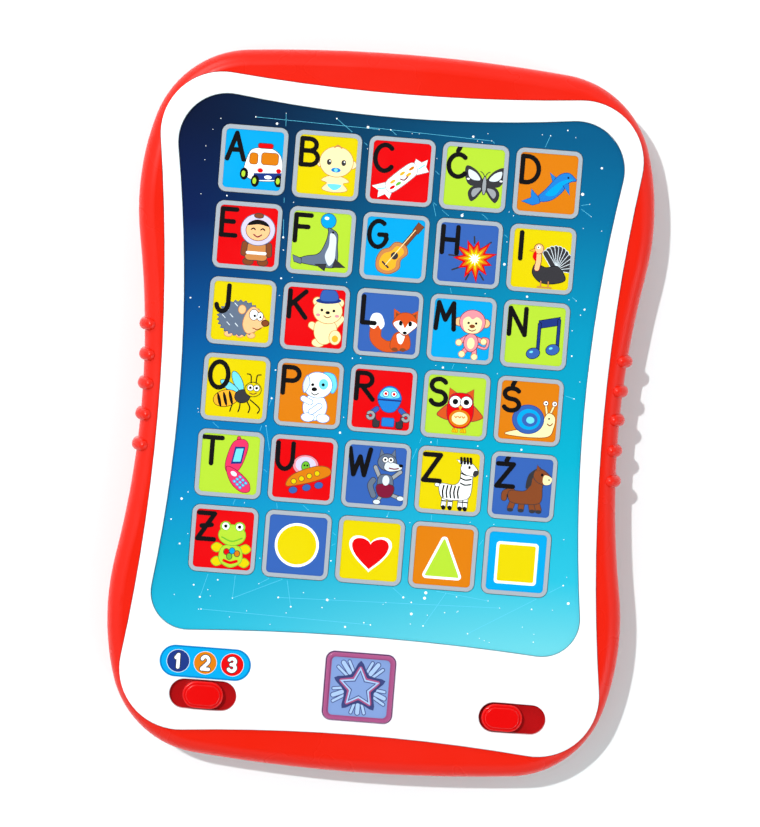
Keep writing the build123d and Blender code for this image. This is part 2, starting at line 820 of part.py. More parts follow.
# ---------------------------------------------------------------- fixed screws
with BuildPart() as case_screws:
    with Locations(*[(x, y, 5.1) for x, y in case_screw_spots]):
        Cylinder(2.6, 1.8)
    with Locations(*[(x, y, 12.0) for x, y in case_screw_spots]):
        Cylinder(1.2, 12.0)
    with Locations(*[(x, y, 4.4) for x, y in case_screw_spots]):
        Box(3.6, 0.8, 1.2, mode=Mode.SUBTRACT)
        Box(0.8, 3.6, 1.2, mode=Mode.SUBTRACT)
case_screws.part.label = "case_screws"
export_step(case_screws.part, "parts/case_screws.step")

with BuildPart() as small_screws:
    with Locations(*[(x, y, board_bottom - 0.6) for x, y in board_screws]):
        Cylinder(2.0, 1.2)
    with Locations(*[(x, y, 16.3) for x, y in board_screws]):
        Cylinder(0.85, 7.2)
    with Locations((0, speaker_y, 4.0)):
        with PolarLocations(speaker_radius + 2.1, 3, start_angle=90):
            Cylinder(3.0, 1.2)
    with Locations((0, speaker_y, 2.6)):
        with PolarLocations(speaker_radius + 2.1, 3, start_angle=90):
            Cylinder(0.9, 2.8)
small_screws.part.label = "small_screws"
export_step(small_screws.part, "parts/small_screws.step")
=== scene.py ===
"""Looks of the play tablet: materials, the printed screen, the key pictures, light and camera.

Drawing sizes are in millimetres in the tablet's own frame (+Y to its top edge, +Z out of
its face) and become metres when a mesh is made.
"""
import json
import math
import random

import bpy
from mathutils import Matrix, Vector

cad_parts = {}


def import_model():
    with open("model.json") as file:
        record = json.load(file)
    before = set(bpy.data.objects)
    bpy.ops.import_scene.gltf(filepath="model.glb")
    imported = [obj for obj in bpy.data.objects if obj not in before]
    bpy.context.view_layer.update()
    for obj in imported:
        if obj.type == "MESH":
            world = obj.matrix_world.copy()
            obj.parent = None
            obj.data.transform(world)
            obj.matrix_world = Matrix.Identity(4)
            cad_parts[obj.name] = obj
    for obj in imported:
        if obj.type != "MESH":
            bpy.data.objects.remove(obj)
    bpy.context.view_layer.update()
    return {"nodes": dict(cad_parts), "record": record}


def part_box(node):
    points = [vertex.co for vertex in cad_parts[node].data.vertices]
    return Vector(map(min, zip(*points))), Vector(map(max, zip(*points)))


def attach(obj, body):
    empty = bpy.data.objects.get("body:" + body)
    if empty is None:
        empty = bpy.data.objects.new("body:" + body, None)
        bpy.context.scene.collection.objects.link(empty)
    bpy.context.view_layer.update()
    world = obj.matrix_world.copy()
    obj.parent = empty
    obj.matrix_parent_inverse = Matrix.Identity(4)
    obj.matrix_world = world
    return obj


MM = 0.001

# Printed field of a key, as in the CAD part
FIELD_WIDTH = 18.3
FIELD_HEIGHT = 18.6
FIELD_RADIUS = 1.25
FIELD_DEPTH = 0.2
SCREEN_Z = 23.8

# Printed layers: the coloured base first, then each shape a little higher than the last
BASE_INK = 0.02
INK_STEP = 0.003
INK_DEPTH = 0.02

# Letters and their strokes
LETTER_X = -8.3
LETTER_Y = -0.2
LETTER_WIDTH = 5.2
LETTER_HEIGHT = 8.2
LETTER_STROKE = 1.46
ACUTE_HEIGHT = 0.86
EDGE_INK = 0.2

# Outline of the printed screen, as in the CAD part
SCREEN_ARCS = {
    "bottom": (-70.5, 778.0),
    "side": (64.1, 3.0, 470.0),
    "top": (94.4, 424.0),
}
CORNER_SIDE = 60
CORNER_TOP = 84
CORNER_BOTTOM = -58
CORNER_REACH = 7

# Mode label and sliders
LABEL_X = -49.3
LABEL_Y = -82.5
LABEL_LENGTH = 29.0
LABEL_WIDTH = 10.1
LABEL_RIM = 0.55
DISC_PITCH = 8.6
DISC_RADIUS = 3.7
DISC_RIM = 0.15
DIGIT_WIDTH = 2.5
DIGIT_HEIGHT = 4.0
DIGIT_EDGE = 1.6
DIGIT_STROKE = 1.05
LABEL_TOP = 25.15

BUTTON_Y = -86.6
BUTTON_FIELD = 18.6
RAY_START = 5.6
RAY_REACH = 8.1
RAY_EDGE = 0.5
SHIELD_WIDTH = 11.0
SHIELD_TOP = 22.6

# Sky of the printed screen
STAR_COUNT = 140
LINE_COUNT = 60
LINE_INK = 0.1
STAR_SEED = 11
STAR_SMALLEST = 0.12
STAR_SPREAD = 0.36
LINE_SHORTEST = 18
LINE_LONGEST = 90

# Sky colours by height, as they look in the studio light, at the left and right edges
SKY_BOTTOM = -75
SKY_TOP = 95
SKY_LEFT = -70
SKY_RIGHT = 66
SKY_COLOURS_LEFT = [
    (-70, (34, 190, 222)),
    (-48, (14, 168, 206)),
    (-20, (6, 134, 202)),
    (24, (4, 84, 154)),
    (58, (9, 34, 88)),
    (90, (8, 24, 58)),
]
SKY_COLOURS_RIGHT = [
    (-70, (116, 222, 236)),
    (-48, (48, 202, 230)),
    (-10, (5, 184, 214)),
    (30, (4, 160, 200)),
    (68, (3, 116, 164)),
    (92, (5, 96, 142)),
]

# How much darker the ink itself is than it looks in that light
PRINT_SHADE = 0.74

# How strongly plastic and ink reflect; 0.5 would be plain polished plastic
SHEEN = 0.28

# Light: the studio's sky, a sun that casts the shadow, and a cool sun that fills it
SKY_LIGHT = 0.86
SUN_LIGHT = 1.9
FILL_LIGHT = 0.7

# Camera: a long lens almost straight above, a little towards the top edge and the left side
CAMERA_DISTANCE = 1.6
CAMERA_TOWARDS_TOP = 3.7
CAMERA_TOWARDS_LEFT = 1.7
CAMERA_ROLL = 4.6
VIEW_HEIGHT = 0.2638
AIM = (0.0, 0.0, 0.012)


# ---------------------------------------------------------------- colours
def srgb(red, green, blue):
    """A colour given as 0 to 255 screen values, as the linear values that a material needs."""
    linear = []
    for value in (red, green, blue):
        share = value / 255
        linear.append(share / 12.92 if share <= 0.04045 else ((share + 0.055) / 1.055) ** 2.4)
    return (*linear, 1.0)


INKS = {
    "black": (14, 12, 14),
    "white": (250, 250, 248),
    "sky": (0, 155, 214),
    "yellow": (217, 195, 0),
    "red": (215, 2, 8),
    "lime": (172, 206, 50),
    "orange": (208, 116, 10),
    "royal": (51, 91, 166),
    "grey": (150, 152, 156),
    "dark": (52, 50, 54),
    "cream": (250, 226, 168),
    "peach": (244, 186, 130),
    "pink": (236, 140, 150),
    "rose": (226, 50, 96),
    "brown": (128, 66, 34),
    "tan": (196, 128, 70),
    "navy": (28, 50, 120),
    "aqua": (110, 208, 226),
    "blue": (30, 120, 200),
    "steel": (96, 108, 128),
    "leaf": (104, 176, 44),
    "wine": (120, 20, 50),
    "amber": (250, 170, 40),
    "lilac": (206, 196, 226),
    "pale": (214, 222, 228),
    "fox": (206, 78, 28),
    "frost": (122, 146, 196),
    "mist": (160, 184, 220),
    "indigo": (58, 66, 116),
    # Painted shade for the slot floors, not a colour of the plastic
    "slot_shade_red": (168, 8, 12),
}


# ---------------------------------------------------------------- materials
def plain_material(name, colour, roughness, metallic=0.0, coat=0.0):
    """A material of one colour."""
    made = bpy.data.materials.new(name)
    made.use_nodes = True
    shader = made.node_tree.nodes["Principled BSDF"]
    shader.inputs["Base Color"].default_value = colour
    shader.inputs["Roughness"].default_value = roughness
    shader.inputs["Metallic"].default_value = metallic
    shader.inputs["Coat Weight"].default_value = coat
    shader.inputs["Coat Roughness"].default_value = 0.12
    if metallic == 0:
        shader.inputs["Specular IOR Level"].default_value = SHEEN
    made.diffuse_color = colour
    return made


def shader_of(made):
    """The one surface shader of a material."""
    return made.node_tree.nodes["Principled BSDF"]


def add_noise(made, scale, detail=3.0):
    """A noise texture that is laid out in the frame's own coordinates."""
    nodes = made.node_tree.nodes
    place = nodes.new("ShaderNodeTexCoord")
    noise = nodes.new("ShaderNodeTexNoise")
    noise.inputs["Scale"].default_value = scale
    noise.inputs["Detail"].default_value = detail
    made.node_tree.links.new(place.outputs["Object"], noise.inputs["Vector"])
    return noise


def add_grain(made, scale, depth):
    """Fine bumps on a surface, depth in millimetres."""
    links = made.node_tree.links
    noise = add_noise(made, scale)
    bump = made.node_tree.nodes.new("ShaderNodeBump")
    bump.inputs["Strength"].default_value = 1.0
    bump.inputs["Distance"].default_value = depth * MM
    links.new(noise.outputs["Fac"], bump.inputs["Height"])
    links.new(bump.outputs["Normal"], shader_of(made).inputs["Normal"])


def add_wear(made, scale, low, high):
    """A finish that is a little duller in some places than in others."""
    links = made.node_tree.links
    noise = add_noise(made, scale)
    spread = made.node_tree.nodes.new("ShaderNodeMapRange")
    spread.inputs["From Min"].default_value = 0.3
    spread.inputs["From Max"].default_value = 0.7
    spread.inputs["To Min"].default_value = low
    spread.inputs["To Max"].default_value = high
    links.new(noise.outputs["Fac"], spread.inputs["Value"])
    links.new(spread.outputs["Result"], shader_of(made).inputs["Roughness"])


def add_colour_noise(made, scale, first, second):
    """Two colours that run into each other."""
    links = made.node_tree.links
    noise = add_noise(made, scale, 6.0)
    ramp = made.node_tree.nodes.new("ShaderNodeValToRGB")
    ramp.color_ramp.elements[0].position = 0.42
    ramp.color_ramp.elements[0].color = first
    ramp.color_ramp.elements[1].position = 0.58
    ramp.color_ramp.elements[1].color = second
    links.new(noise.outputs["Fac"], ramp.inputs["Fac"])
    links.new(ramp.outputs["Color"], shader_of(made).inputs["Base Color"])


def moulded(name, colour, roughness, coat):
    """Injection-moulded plastic: even colour, very fine grain, slightly uneven gloss."""
    made = plain_material(name, colour, roughness, coat=coat)
    add_grain(made, 1400.0, 0.004)
    add_wear(made, 35.0, roughness - 0.03, roughness + 0.05)
    return made


def metal(name, colour, roughness):
    """Bare metal with faint scratches."""
    made = plain_material(name, colour, roughness, metallic=1.0)
    add_grain(made, 900.0, 0.006)
    add_wear(made, 300.0, roughness - 0.06, roughness + 0.1)
    return made


def ink_materials():
    """One satin printing ink for each name in INKS."""
    inks = {}
    for name, values in INKS.items():
        inks[name] = plain_material("ink_" + name, srgb(*values), 0.2)
        add_wear(inks[name], 120.0, 0.17, 0.24)
    return inks


def ramp_along(made, height, stops):
    """A colour ramp over the y range of the sky; stops are (y, colour)."""
    ramp = made.node_tree.nodes.new("ShaderNodeValToRGB")
    elements = ramp.color_ramp.elements
    while len(elements) < len(stops):
        elements.new(0.5)
    for element, (y, colour) in zip(elements, stops):
        element.position = (y - SKY_BOTTOM) / (SKY_TOP - SKY_BOTTOM)
        element.color = [PRINT_SHADE * value for value in srgb(*colour)[:3]] + [1.0]
    made.node_tree.links.new(height, ramp.inputs["Fac"])
    return ramp.outputs["Color"]


def screen_material():
    """The night sky that turns to bright cyan at the bottom and on the right."""
    made = plain_material("screen_sky", srgb(0, 150, 200), 0.18)
    nodes = made.node_tree.nodes
    links = made.node_tree.links
    place = nodes.new("ShaderNodeTexCoord")
    split = nodes.new("ShaderNodeSeparateXYZ")
    links.new(place.outputs["Object"], split.inputs["Vector"])
    height = nodes.new("ShaderNodeMapRange")
    height.inputs["From Min"].default_value = SKY_BOTTOM * MM
    height.inputs["From Max"].default_value = SKY_TOP * MM
    links.new(split.outputs["Y"], height.inputs["Value"])
    across = nodes.new("ShaderNodeMapRange")
    across.interpolation_type = "SMOOTHSTEP"
    across.inputs["From Min"].default_value = SKY_LEFT * MM
    across.inputs["From Max"].default_value = SKY_RIGHT * MM
    links.new(split.outputs["X"], across.inputs["Value"])
    left = ramp_along(made, height.outputs["Result"], SKY_COLOURS_LEFT)
    right = ramp_along(made, height.outputs["Result"], SKY_COLOURS_RIGHT)
    blend = nodes.new("ShaderNodeMix")
    blend.data_type = "RGBA"
    links.new(across.outputs["Result"], blend.inputs["Factor"])
    links.new(left, blend.inputs["A"])
    links.new(right, blend.inputs["B"])
    links.new(blend.outputs["Result"], shader_of(made).inputs["Base Color"])
    return made


def button_material():
    """Milky violet plastic with a faint painted glow in its own emission, standing in for the light of the
    two lamps inside it.
    """
    made = plain_material("button_plastic", srgb(176, 84, 122), 0.16)
    shader = shader_of(made)
    shader.inputs["Transmission Weight"].default_value = 0.25
    # Painted glow: the button shines by itself here, in place of the lamps' light coming through it
    shader.inputs["Emission Color"].default_value = srgb(150, 120, 255)
    shader.inputs["Emission Strength"].default_value = 0.06
    add_grain(made, 500.0, 0.01)
    return made


# Moulded plastics: colour, roughness and clear coat
PLASTICS = {
    "red_plastic": ((216, 24, 1), 0.26, 0.0),
    "knob_plastic": ((212, 4, 4), 0.18, 0.0),
    "white_plastic": ((240, 241, 243), 0.24, 0.0),
    "key_plastic": ((158, 164, 172), 0.36, 0.0),
    "black_plastic": ((22, 22, 24), 0.42, 0.0),
    "component_black": ((28, 28, 30), 0.38, 0.0),
    "connector_plastic": ((226, 218, 196), 0.4, 0.0),
    "battery_wrap": ((36, 92, 60), 0.3, 0.3),
    "wire_sheath": ((200, 28, 26), 0.4, 0.0),
}

# Bare metals: colour and roughness
METALS = {
    "steel": ((196, 198, 202), 0.32),
    "magnet_steel": ((150, 152, 156), 0.38),
    "contact_nickel": ((214, 208, 194), 0.24),
    "screw_steel": ((188, 190, 194), 0.28),
}


def part_materials():
    """The material of each slot in the record."""
    made = {
        "screen_print": screen_material(),
        "button_plastic": button_material(),
    }
    for name, (colour, roughness, coat) in PLASTICS.items():
        made[name] = moulded(name, srgb(*colour), roughness, coat)
    for name, (colour, roughness) in METALS.items():
        made[name] = metal(name, srgb(*colour), roughness)
    film = plain_material("clear_film", srgb(214, 226, 230), 0.18)
    add_wear(film, 160.0, 0.14, 0.24)
    shader_of(film).inputs["Transmission Weight"].default_value = 0.6
    lens = plain_material("led_lens", srgb(196, 206, 255), 0.08)
    add_wear(lens, 300.0, 0.06, 0.12)
    shader_of(lens).inputs["Transmission Weight"].default_value = 0.7
    epoxy = plain_material("black_epoxy", srgb(12, 12, 13), 0.16, coat=0.4)
    add_grain(epoxy, 240.0, 0.05)
    board = plain_material("circuit_board", srgb(26, 96, 52), 0.35, coat=0.3)
    add_colour_noise(board, 260.0, srgb(20, 84, 44), srgb(34, 112, 60))
    label = plain_material("label_print", srgb(0, 120, 180), 0.2)
    add_wear(label, 120.0, 0.17, 0.24)
    paper = plain_material("speaker_paper", srgb(34, 32, 32), 0.85)
    add_grain(paper, 2600.0, 0.03)
    made["clear_film"] = film
    made["led_lens"] = lens
    made["black_epoxy"] = epoxy
    made["circuit_board"] = board
    made["label_print"] = label
    made["speaker_paper"] = paper
    return made


# ---------------------------------------------------------------- flat shapes
def ellipse(x, y, rx, ry=None, turn=0.0, start=0.0, end=360.0):
    """Points round an ellipse, or along a part of it, counter-clockwise."""
    ry = ry or rx
    whole = abs(end - start) >= 360
    count = max(8, int(abs(end - start) / 360 * (20 + 4 * max(rx, ry))))
    cos, sin = math.cos(math.radians(turn)), math.sin(math.radians(turn))
    points = []
    for step in range(count if whole else count + 1):
        angle = math.radians(start + (end - start) * step / count)
        along, aside = rx * math.cos(angle), ry * math.sin(angle)
        points.append((x + along * cos - aside * sin, y + along * sin + aside * cos))
    return points


def rounded_rectangle(x, y, width, height, radius):
    """Points round a rectangle with round corners."""
    right, top = width / 2 - radius, height / 2 - radius
    points = []
    for corner, (side, up) in enumerate(((1, 1), (-1, 1), (-1, -1), (1, -1))):
        for step in range(9):
            angle = math.radians(90 * corner + 11.25 * step)
            across = x + side * right + radius * math.cos(angle)
            points.append((across, y + up * top + radius * math.sin(angle)))
    return points


def smooth_loop(points, steps=6):
    """A closed curve through the given points."""
    curve = []
    count = len(points)
    for index in range(count):
        before, here, after, beyond = (points[(index + shift) % count] for shift in (-1, 0, 1, 2))
        for step in range(steps):
            curve.append(between(before, here, after, beyond, step / steps))
    return curve


def smooth_line(points, steps=5):
    """An open curve through the given points."""
    ends = [points[0], *points, points[-1]]
    curve = []
    for index in range(1, len(points)):
        for step in range(steps):
            curve.append(between(*ends[index - 1 : index + 3], step / steps))
    curve.append(points[-1])
    return curve


def between(before, here, after, beyond, share):
    """A point of the smooth curve between here and after."""
    mixed = []
    for a, b, c, d in zip(before, here, after, beyond):
        linear = (c - a) * share
        square = (2 * a - 5 * b + 4 * c - d) * share**2
        cube = (3 * b - a - 3 * c + d) * share**3
        mixed.append(b + 0.5 * (linear + square + cube))
    return tuple(mixed)


def grown(points, distance):
    """A closed outline moved outwards. The points run counter-clockwise."""
    moved = []
    count = len(points)
    for index in range(count):
        before, here, after = (Vector(points[(index + shift) % count]) for shift in (-1, 0, 1))
        way = after - before
        if way.length < 1e-6:
            way = after - here
        normal = Vector((way.y, -way.x)).normalized()
        moved.append(tuple(here + normal * distance))
    return moved


def anticlockwise(points):
    """The same outline, running counter-clockwise."""
    area = 0.0
    for (x0, y0), (x1, y1) in zip(points, points[1:] + points[:1]):
        area += x0 * y1 - x1 * y0
    return points if area > 0 else points[::-1]


def stroke(points, width):
    """The outline of a pen stroke with round ends along a smooth line."""
    path = [Vector(point) for point in points]
    ways = [(b - a).normalized() for a, b in zip(path, path[1:])]
    left, right = [], []
    for index, here in enumerate(path):
        way = ways[max(index - 1, 0)] + ways[min(index, len(ways) - 1)]
        way.normalize()
        aside = Vector((-way.y, way.x)) * width / 2
        left.append(here + aside)
        right.append(here - aside)
    end_angle = math.degrees(math.atan2(ways[-1].y, ways[-1].x))
    start_angle = math.degrees(math.atan2(ways[0].y, ways[0].x))
    end_cap = ellipse(path[-1].x, path[-1].y, width / 2, start=end_angle - 90, end=end_angle + 90)
    start_cap = ellipse(path[0].x, path[0].y, width / 2, start=start_angle + 90, end=start_angle + 270)
    outline = [tuple(point) for point in right[:-1]]
    outline += end_cap
    outline += [tuple(point) for point in reversed(left[1:-1])]
    outline += start_cap
    return outline


class Drawing:
    """Shapes in order, from the lowest ink to the highest, with their colours."""

    def __init__(self, x=0.0, y=0.0):
        self.shapes = []
        self.x = x
        self.y = y

    def area(self, ink, points, edge=None):
        """A filled outline, with a thin rim of another ink if edge names one."""
        placed = anticlockwise([(self.x + px, self.y + py) for px, py in points])
        if edge:
            self.shapes.append((edge, grown(placed, EDGE_INK)))
        self.shapes.append((ink, placed))

    def blob(self, ink, points, edge=None):
        """A filled smooth loop through a few points."""
        self.area(ink, smooth_loop(points), edge)

    def oval(self, ink, x, y, rx, ry=None, turn=0.0, edge=None):
        """A filled ellipse, or a disc if it has only one radius."""
        self.area(ink, ellipse(x, y, rx, ry, turn), edge)

    def line(self, ink, width, points, edge=None):
        """A pen stroke, smooth if it has more than two points."""
        curve = smooth_line(points) if len(points) > 2 else points
        self.area(ink, stroke(curve, width), edge)

    def eyes(self, x, y, apart, radius):
        """Two round eyes with pupils."""
        for side in (-1, 1):
            self.oval("white", x + side * apart, y, radius, edge="dark")
            self.oval("black", x + side * apart, y, radius * 0.5)


def arc(x, y, rx, ry, start, end):
    """Points along an arc that stand for one stroke of a letter."""
    return ellipse(x, y, rx, ry, start=start, end=end)


# Letters as strokes in a box one wide and one high
LETTERS = {
    "a": [[(0, 0), (0.5, 1)], [(0.5, 1), (1, 0)], [(0.2, 0.36), (0.8, 0.36)]],
    "b": [
        [(0, 0), (0, 1)],
        [(0, 1), (0.4, 1), *arc(0.45, 0.77, 0.42, 0.23, 80, -80), (0.1, 0.54)],
        [(0, 0.54), (0.5, 0.54), *arc(0.52, 0.27, 0.48, 0.27, 80, -80), (0, 0)],
    ],
    "c": [arc(0.58, 0.5, 0.58, 0.5, 48, 318)],
    "d": [[(0, 0), (0, 1)], [(0, 1), (0.3, 1), *arc(0.3, 0.5, 0.7, 0.5, 80, -80), (0.3, 0), (0, 0)]],
    "e": [[(0, 0), (0, 1)], [(0, 1), (0.85, 1)], [(0, 0.53), (0.7, 0.53)], [(0, 0), (0.85, 0)]],
    "f": [[(0, 0), (0, 1)], [(0, 1), (0.9, 1)], [(0, 0.55), (0.75, 0.55)]],
    "g": [arc(0.55, 0.5, 0.55, 0.5, 55, 340), [(1.07, 0.33), (1.0, 0.48)], [(0.62, 0.48), (1.04, 0.48)]],
    "h": [[(0, 0), (0, 1)], [(0.9, 0), (0.9, 1)], [(0, 0.5), (0.9, 0.5)]],
    "i": [[(0.3, 0), (0.3, 1)]],
    "j": [[(0.75, 1), (0.75, 0.35), *arc(0.4, 0.3, 0.35, 0.3, 0, -170)]],
    "k": [[(0, 0), (0, 1)], [(0.95, 1), (0.05, 0.45)], [(0.25, 0.58), (1.0, 0)]],
    "l": [[(0, 0), (0, 1)], [(0, 0), (0.75, 0)]],
    "m": [[(0, 0), (0.1, 1)], [(0.1, 1), (0.55, 0.35)], [(0.55, 0.35), (1.0, 1)], [(1.0, 1), (1.1, 0)]],
    "n": [[(0, 0), (0, 1)], [(0, 1), (0.95, 0)], [(0.95, 0), (0.95, 1)]],
    "o": [arc(0.55, 0.5, 0.55, 0.5, 90, 275), arc(0.55, 0.5, 0.55, 0.5, 265, 455)],
    "p": [[(0, 0), (0, 1)], [(0, 1), (0.45, 1), *arc(0.48, 0.74, 0.45, 0.26, 80, -80), (0, 0.48)]],
    "r": [
        [(0, 0), (0, 1)],
        [(0, 1), (0.45, 1), *arc(0.48, 0.75, 0.42, 0.25, 80, -80), (0, 0.5)],
        [(0.3, 0.5), (1.0, 0)],
    ],
    "s": [[*arc(0.5, 0.76, 0.45, 0.24, 30, 250), *arc(0.5, 0.26, 0.47, 0.26, 70, -155)]],
    "t": [[(-0.1, 1), (1.05, 1)], [(0.47, 0), (0.47, 1)]],
    "u": [[(0, 1), (0, 0.4), *arc(0.46, 0.4, 0.46, 0.4, 180, 360), (0.92, 1)]],
    "w": [[(-0.1, 1), (0.2, 0)], [(0.2, 0), (0.55, 0.7)], [(0.55, 0.7), (0.85, 0)], [(0.85, 0), (1.15, 1)]],
    "z": [[(0, 1), (0.95, 1)], [(0.95, 1), (0, 0)], [(0, 0), (1.0, 0)]],
}
MARKS = {
    "acute": [[(0.5, 1.14), (0.62, 1.34)]],
    "dot": [[(0.2, 0.5), (0.8, 0.56)]],
}
DIGITS = {
    "1": [[(0.2, 0.75), (0.5, 1)], [(0.5, 1), (0.5, 0)]],
    "2": [[*arc(0.5, 0.7, 0.42, 0.3, 160, -40), (0.1, 0.02)], [(0.1, 0.0), (0.95, 0.0)]],
    "3": [
        [*arc(0.45, 0.76, 0.4, 0.24, 150, -85), (0.35, 0.52)],
        [(0.35, 0.52), *arc(0.45, 0.26, 0.44, 0.26, 85, -150)],
    ],
}


def letter(drawing, name):
    """The letter of a key in its upper left corner."""
    base, _, mark = name.partition("_")
    height = LETTER_HEIGHT * (ACUTE_HEIGHT if mark == "acute" else 1.0)
    for points in LETTERS[base] + MARKS.get(mark, []):
        placed = [(LETTER_X + px * LETTER_WIDTH, LETTER_Y + py * height) for px, py in points]
        drawing.area("black", stroke(placed, LETTER_STROKE))


# ---------------------------------------------------------------- key pictures
def ambulance(d):
    d.blob("white", [
        (-2.6, -4.2), (-1.6, 1.6), (0.4, 3.6), (5.4, 3.8), (8.6, 1.4), (9.2, -4), (8, -6), (1, -6.4),
    ], "dark")
    d.area("navy", [(0.6, -6.4), (9, -5.8), (9.2, -3.6), (0.4, -4.2)])
    d.area("orange", rounded_rectangle(5.2, 0.6, 5.2, 3.6, 0.9), "brown")
    d.area("orange", rounded_rectangle(0.1, 0.4, 2.4, 3.4, 0.8), "brown")
    d.area("red", rounded_rectangle(3.6, 4.6, 4.6, 1.4, 0.6), "dark")
    d.oval("white", 5, -5.2, 1.2, 0.6)
    for x, y in ((-2.6, -4.6), (1, -6.6), (8.4, -6.2)):
        d.oval("black", x, y, 1.3, 1.9)
        d.oval("lime", x - 0.2, y, 0.6, 1)
    d.oval("red", 2.4, -3.2, 0.9, 0.7)
    d.oval("red", 8.2, -3, 0.8, 0.7)


def baby(d):
    d.blob("cream", [
        (-1.4, -4.6), (0.4, -3.4), (2.8, -3), (5.2, -3.4), (7.2, -4.6), (5.4, -5.4), (6.8, -7.4),
        (2.8, -8.2), (-1, -7.4), (0.4, -5.4),
    ], "tan")
    d.blob("aqua", [(0.6, -5.8), (5, -5.8), (3.6, -7.4), (2, -7.4)])
    for x in (-2, 8):
        d.oval("cream", x, 0.8, 1.2, edge="tan")
    d.oval("cream", 2.9, 1.4, 5.2, 4.7, edge="tan")
    d.line("tan", 0.4, [(2, 5.9), (3, 6.6), (4.2, 5.8)])
    for x in (0.6, 5.2):
        d.oval("dark", x, 1.2, 0.75, 0.95)
        d.oval("white", x + 0.2, 1.5, 0.25)
    d.oval("blue", 2.9, -1.2, 1.5, 0.75)
    d.oval("aqua", 2.9, -1.2, 0.6)


def candy(d):
    d.area("white", [
        (-3.6, -3.6), (-8.6, -5.2), (-6.4, -6.4), (-6.6, -8.6), (-4.4, -7.4), (-3, -8.8), (-2, -5.6),
    ], "grey")
    d.area("white", [
        (3.6, 0.8), (4.6, 4.2), (6.4, 3.2), (8.2, 4.2), (7.8, 2), (8.8, 0.6), (5.2, -0.6),
    ], "grey")
    d.blob("white", [
        (-4.4, -4.6), (-3.2, -2.4), (2.6, 2.6), (4.6, 2.2), (5.2, 0.2), (4, -1.6), (-1.6, -6.4),
        (-3.6, -6.2),
    ], "grey")
    for x, y, ink in (
        (-2.2, -3.4, "amber"), (-0.4, -3.9, "leaf"), (0.6, -0.6, "amber"), (3.4, 1.2, "orange"),
        (-2.2, -5.2, "red"), (2.6, -0.8, "amber"),
    ):
        d.oval(ink, x, y, 1, 0.45, turn=38)
    d.line("wine", 0.4, [(0.2, -2.4), (1.4, -2.6), (2.4, -1.4)])
    for points in ([(-6.8, -6), (-4.6, -5.6)], [(5.6, 1.2), (7.4, 2.6)]):
        d.line("aqua", 0.3, points)


def butterfly(d):
    wings = (
        ("dark", [(0.2, -2), (2.4, 2), (6, 3.6), (6.2, 0), (4.4, -2.6)]),
        ("pale", [(1.4, -0.6), (2.8, 1.4), (5.2, 2.4), (5, 0.2), (3.4, -0.8)]),
        ("dark", [(0.2, -2.4), (3.6, -2.8), (5, -5), (3.8, -7.6), (1.4, -5.4)]),
        ("grey", [(1, -3.2), (3.2, -3.6), (3.9, -5), (3.2, -6.2), (1.8, -4.8)]),
    )
    for side in (-1, 1):
        for ink, points in wings:
            d.blob(ink, [(3.4 + side * x, y) for x, y in points])
        d.oval("white", 3.4 + side * 5.2, -0.6, 0.5, 0.3)
        d.line("dark", 0.25, [(3.4, 0.4), (3.4 + side * 0.8, 1.6), (3.4 + side * 1.5, 2)])
    d.oval("grey", 3.4, -2.4, 0.6, 2.8, edge="black")


def dolphin(d):
    d.blob("blue", [
        (-3.4, -5.6), (-0.2, -1.8), (3.4, 2.6), (6.4, 3.6), (8.6, 2), (8.8, 1.4), (6.6, 0.6),
        (4.6, -2.6), (1, -5.4),
    ], "navy")
    d.blob("sky", [(-0.4, -3.6), (3.2, 0.2), (6, 1.6), (8, 1.6), (5.4, 0), (2.6, -3.6)])
    d.area("blue", [(2.4, 2), (0.6, 3.4), (1.6, 0.6)], "navy")
    d.area("blue", [(5, -0.4), (7.2, -3.2), (6.6, 0.4)], "navy")
    d.area("blue", [(-2.4, -4.8), (-5, -2.2), (-4.8, -5), (-7.8, -6.2), (-4.2, -7.2), (-2, -6.4)], "navy")
    d.oval("black", 6.4, 2.2, 0.3)


def hooded_child(d):
    for x in (0.8, 5.4):
        d.oval("brown", x, -8, 1.6, 1.1, edge="dark")
    d.blob("tan", [(0.2, -2.6), (6.2, -2.6), (6.4, -7), (3.1, -7.4), (0, -7)], "dark")
    for shoulder, hand in ((-0.6, -0.8), (7, 7.2)):
        d.line("brown", 1.6, [(shoulder, -2.6), (hand, -5.4)], "dark")
    d.line("white", 0.9, [(0.4, -5.2), (6, -5.2)])
    d.oval("lilac", 3.2, 2.2, 5.3, 4.9, edge="steel")
    d.oval("brown", 3.2, 6.6, 1.4, 0.7, edge="dark")
    d.oval("peach", 3.2, 2, 3.7, 3.2, edge="brown")
    d.blob("black", [(-0.2, 3.4), (1, 4.8), (3.2, 5.3), (5.6, 4.7), (6.6, 3.4), (3.4, 3.9)])
    for x in (1.7, 4.7):
        d.line("black", 0.4, [(x - 0.6, 2.2), (x, 2.6), (x + 0.6, 2.2)])
    d.line("wine", 0.4, [(2, 0.6), (3.2, -0.1), (4.4, 0.6)])


def seal(d):
    d.oval("sky", 1.9, 6.7, 2.3, edge="navy")
    d.oval("white", 1.3, 7.5, 0.7, 0.5)
    d.blob("steel", [
        (-7.4, -6.6), (-4.6, -5), (-0.4, -3.8), (1.6, 0), (2.2, 3.2), (2, 4.4), (3.4, 4), (5, 2.6),
        (5.2, -1), (5.6, -5.2), (4.6, -7.8), (-1, -7.6),
    ], "black")
    d.blob("pale", [(2.8, 2.8), (4.6, 1.8), (4.8, -2), (4.6, -5.6), (3, -7.4), (1.6, -4.4), (2.6, -1)])
    d.area("dark", [(4.8, -5.2), (8.2, -7.6), (4.2, -7.8)], "black")
    d.area("dark", [(-1.4, -7.2), (1.8, -9), (2.2, -7)], "black")
    d.area("steel", [(-5.8, -5.8), (-8.6, -4.8), (-8, -6.8), (-5.8, -7.4)], "black")
    d.oval("black", 3.6, 3.2, 0.35)


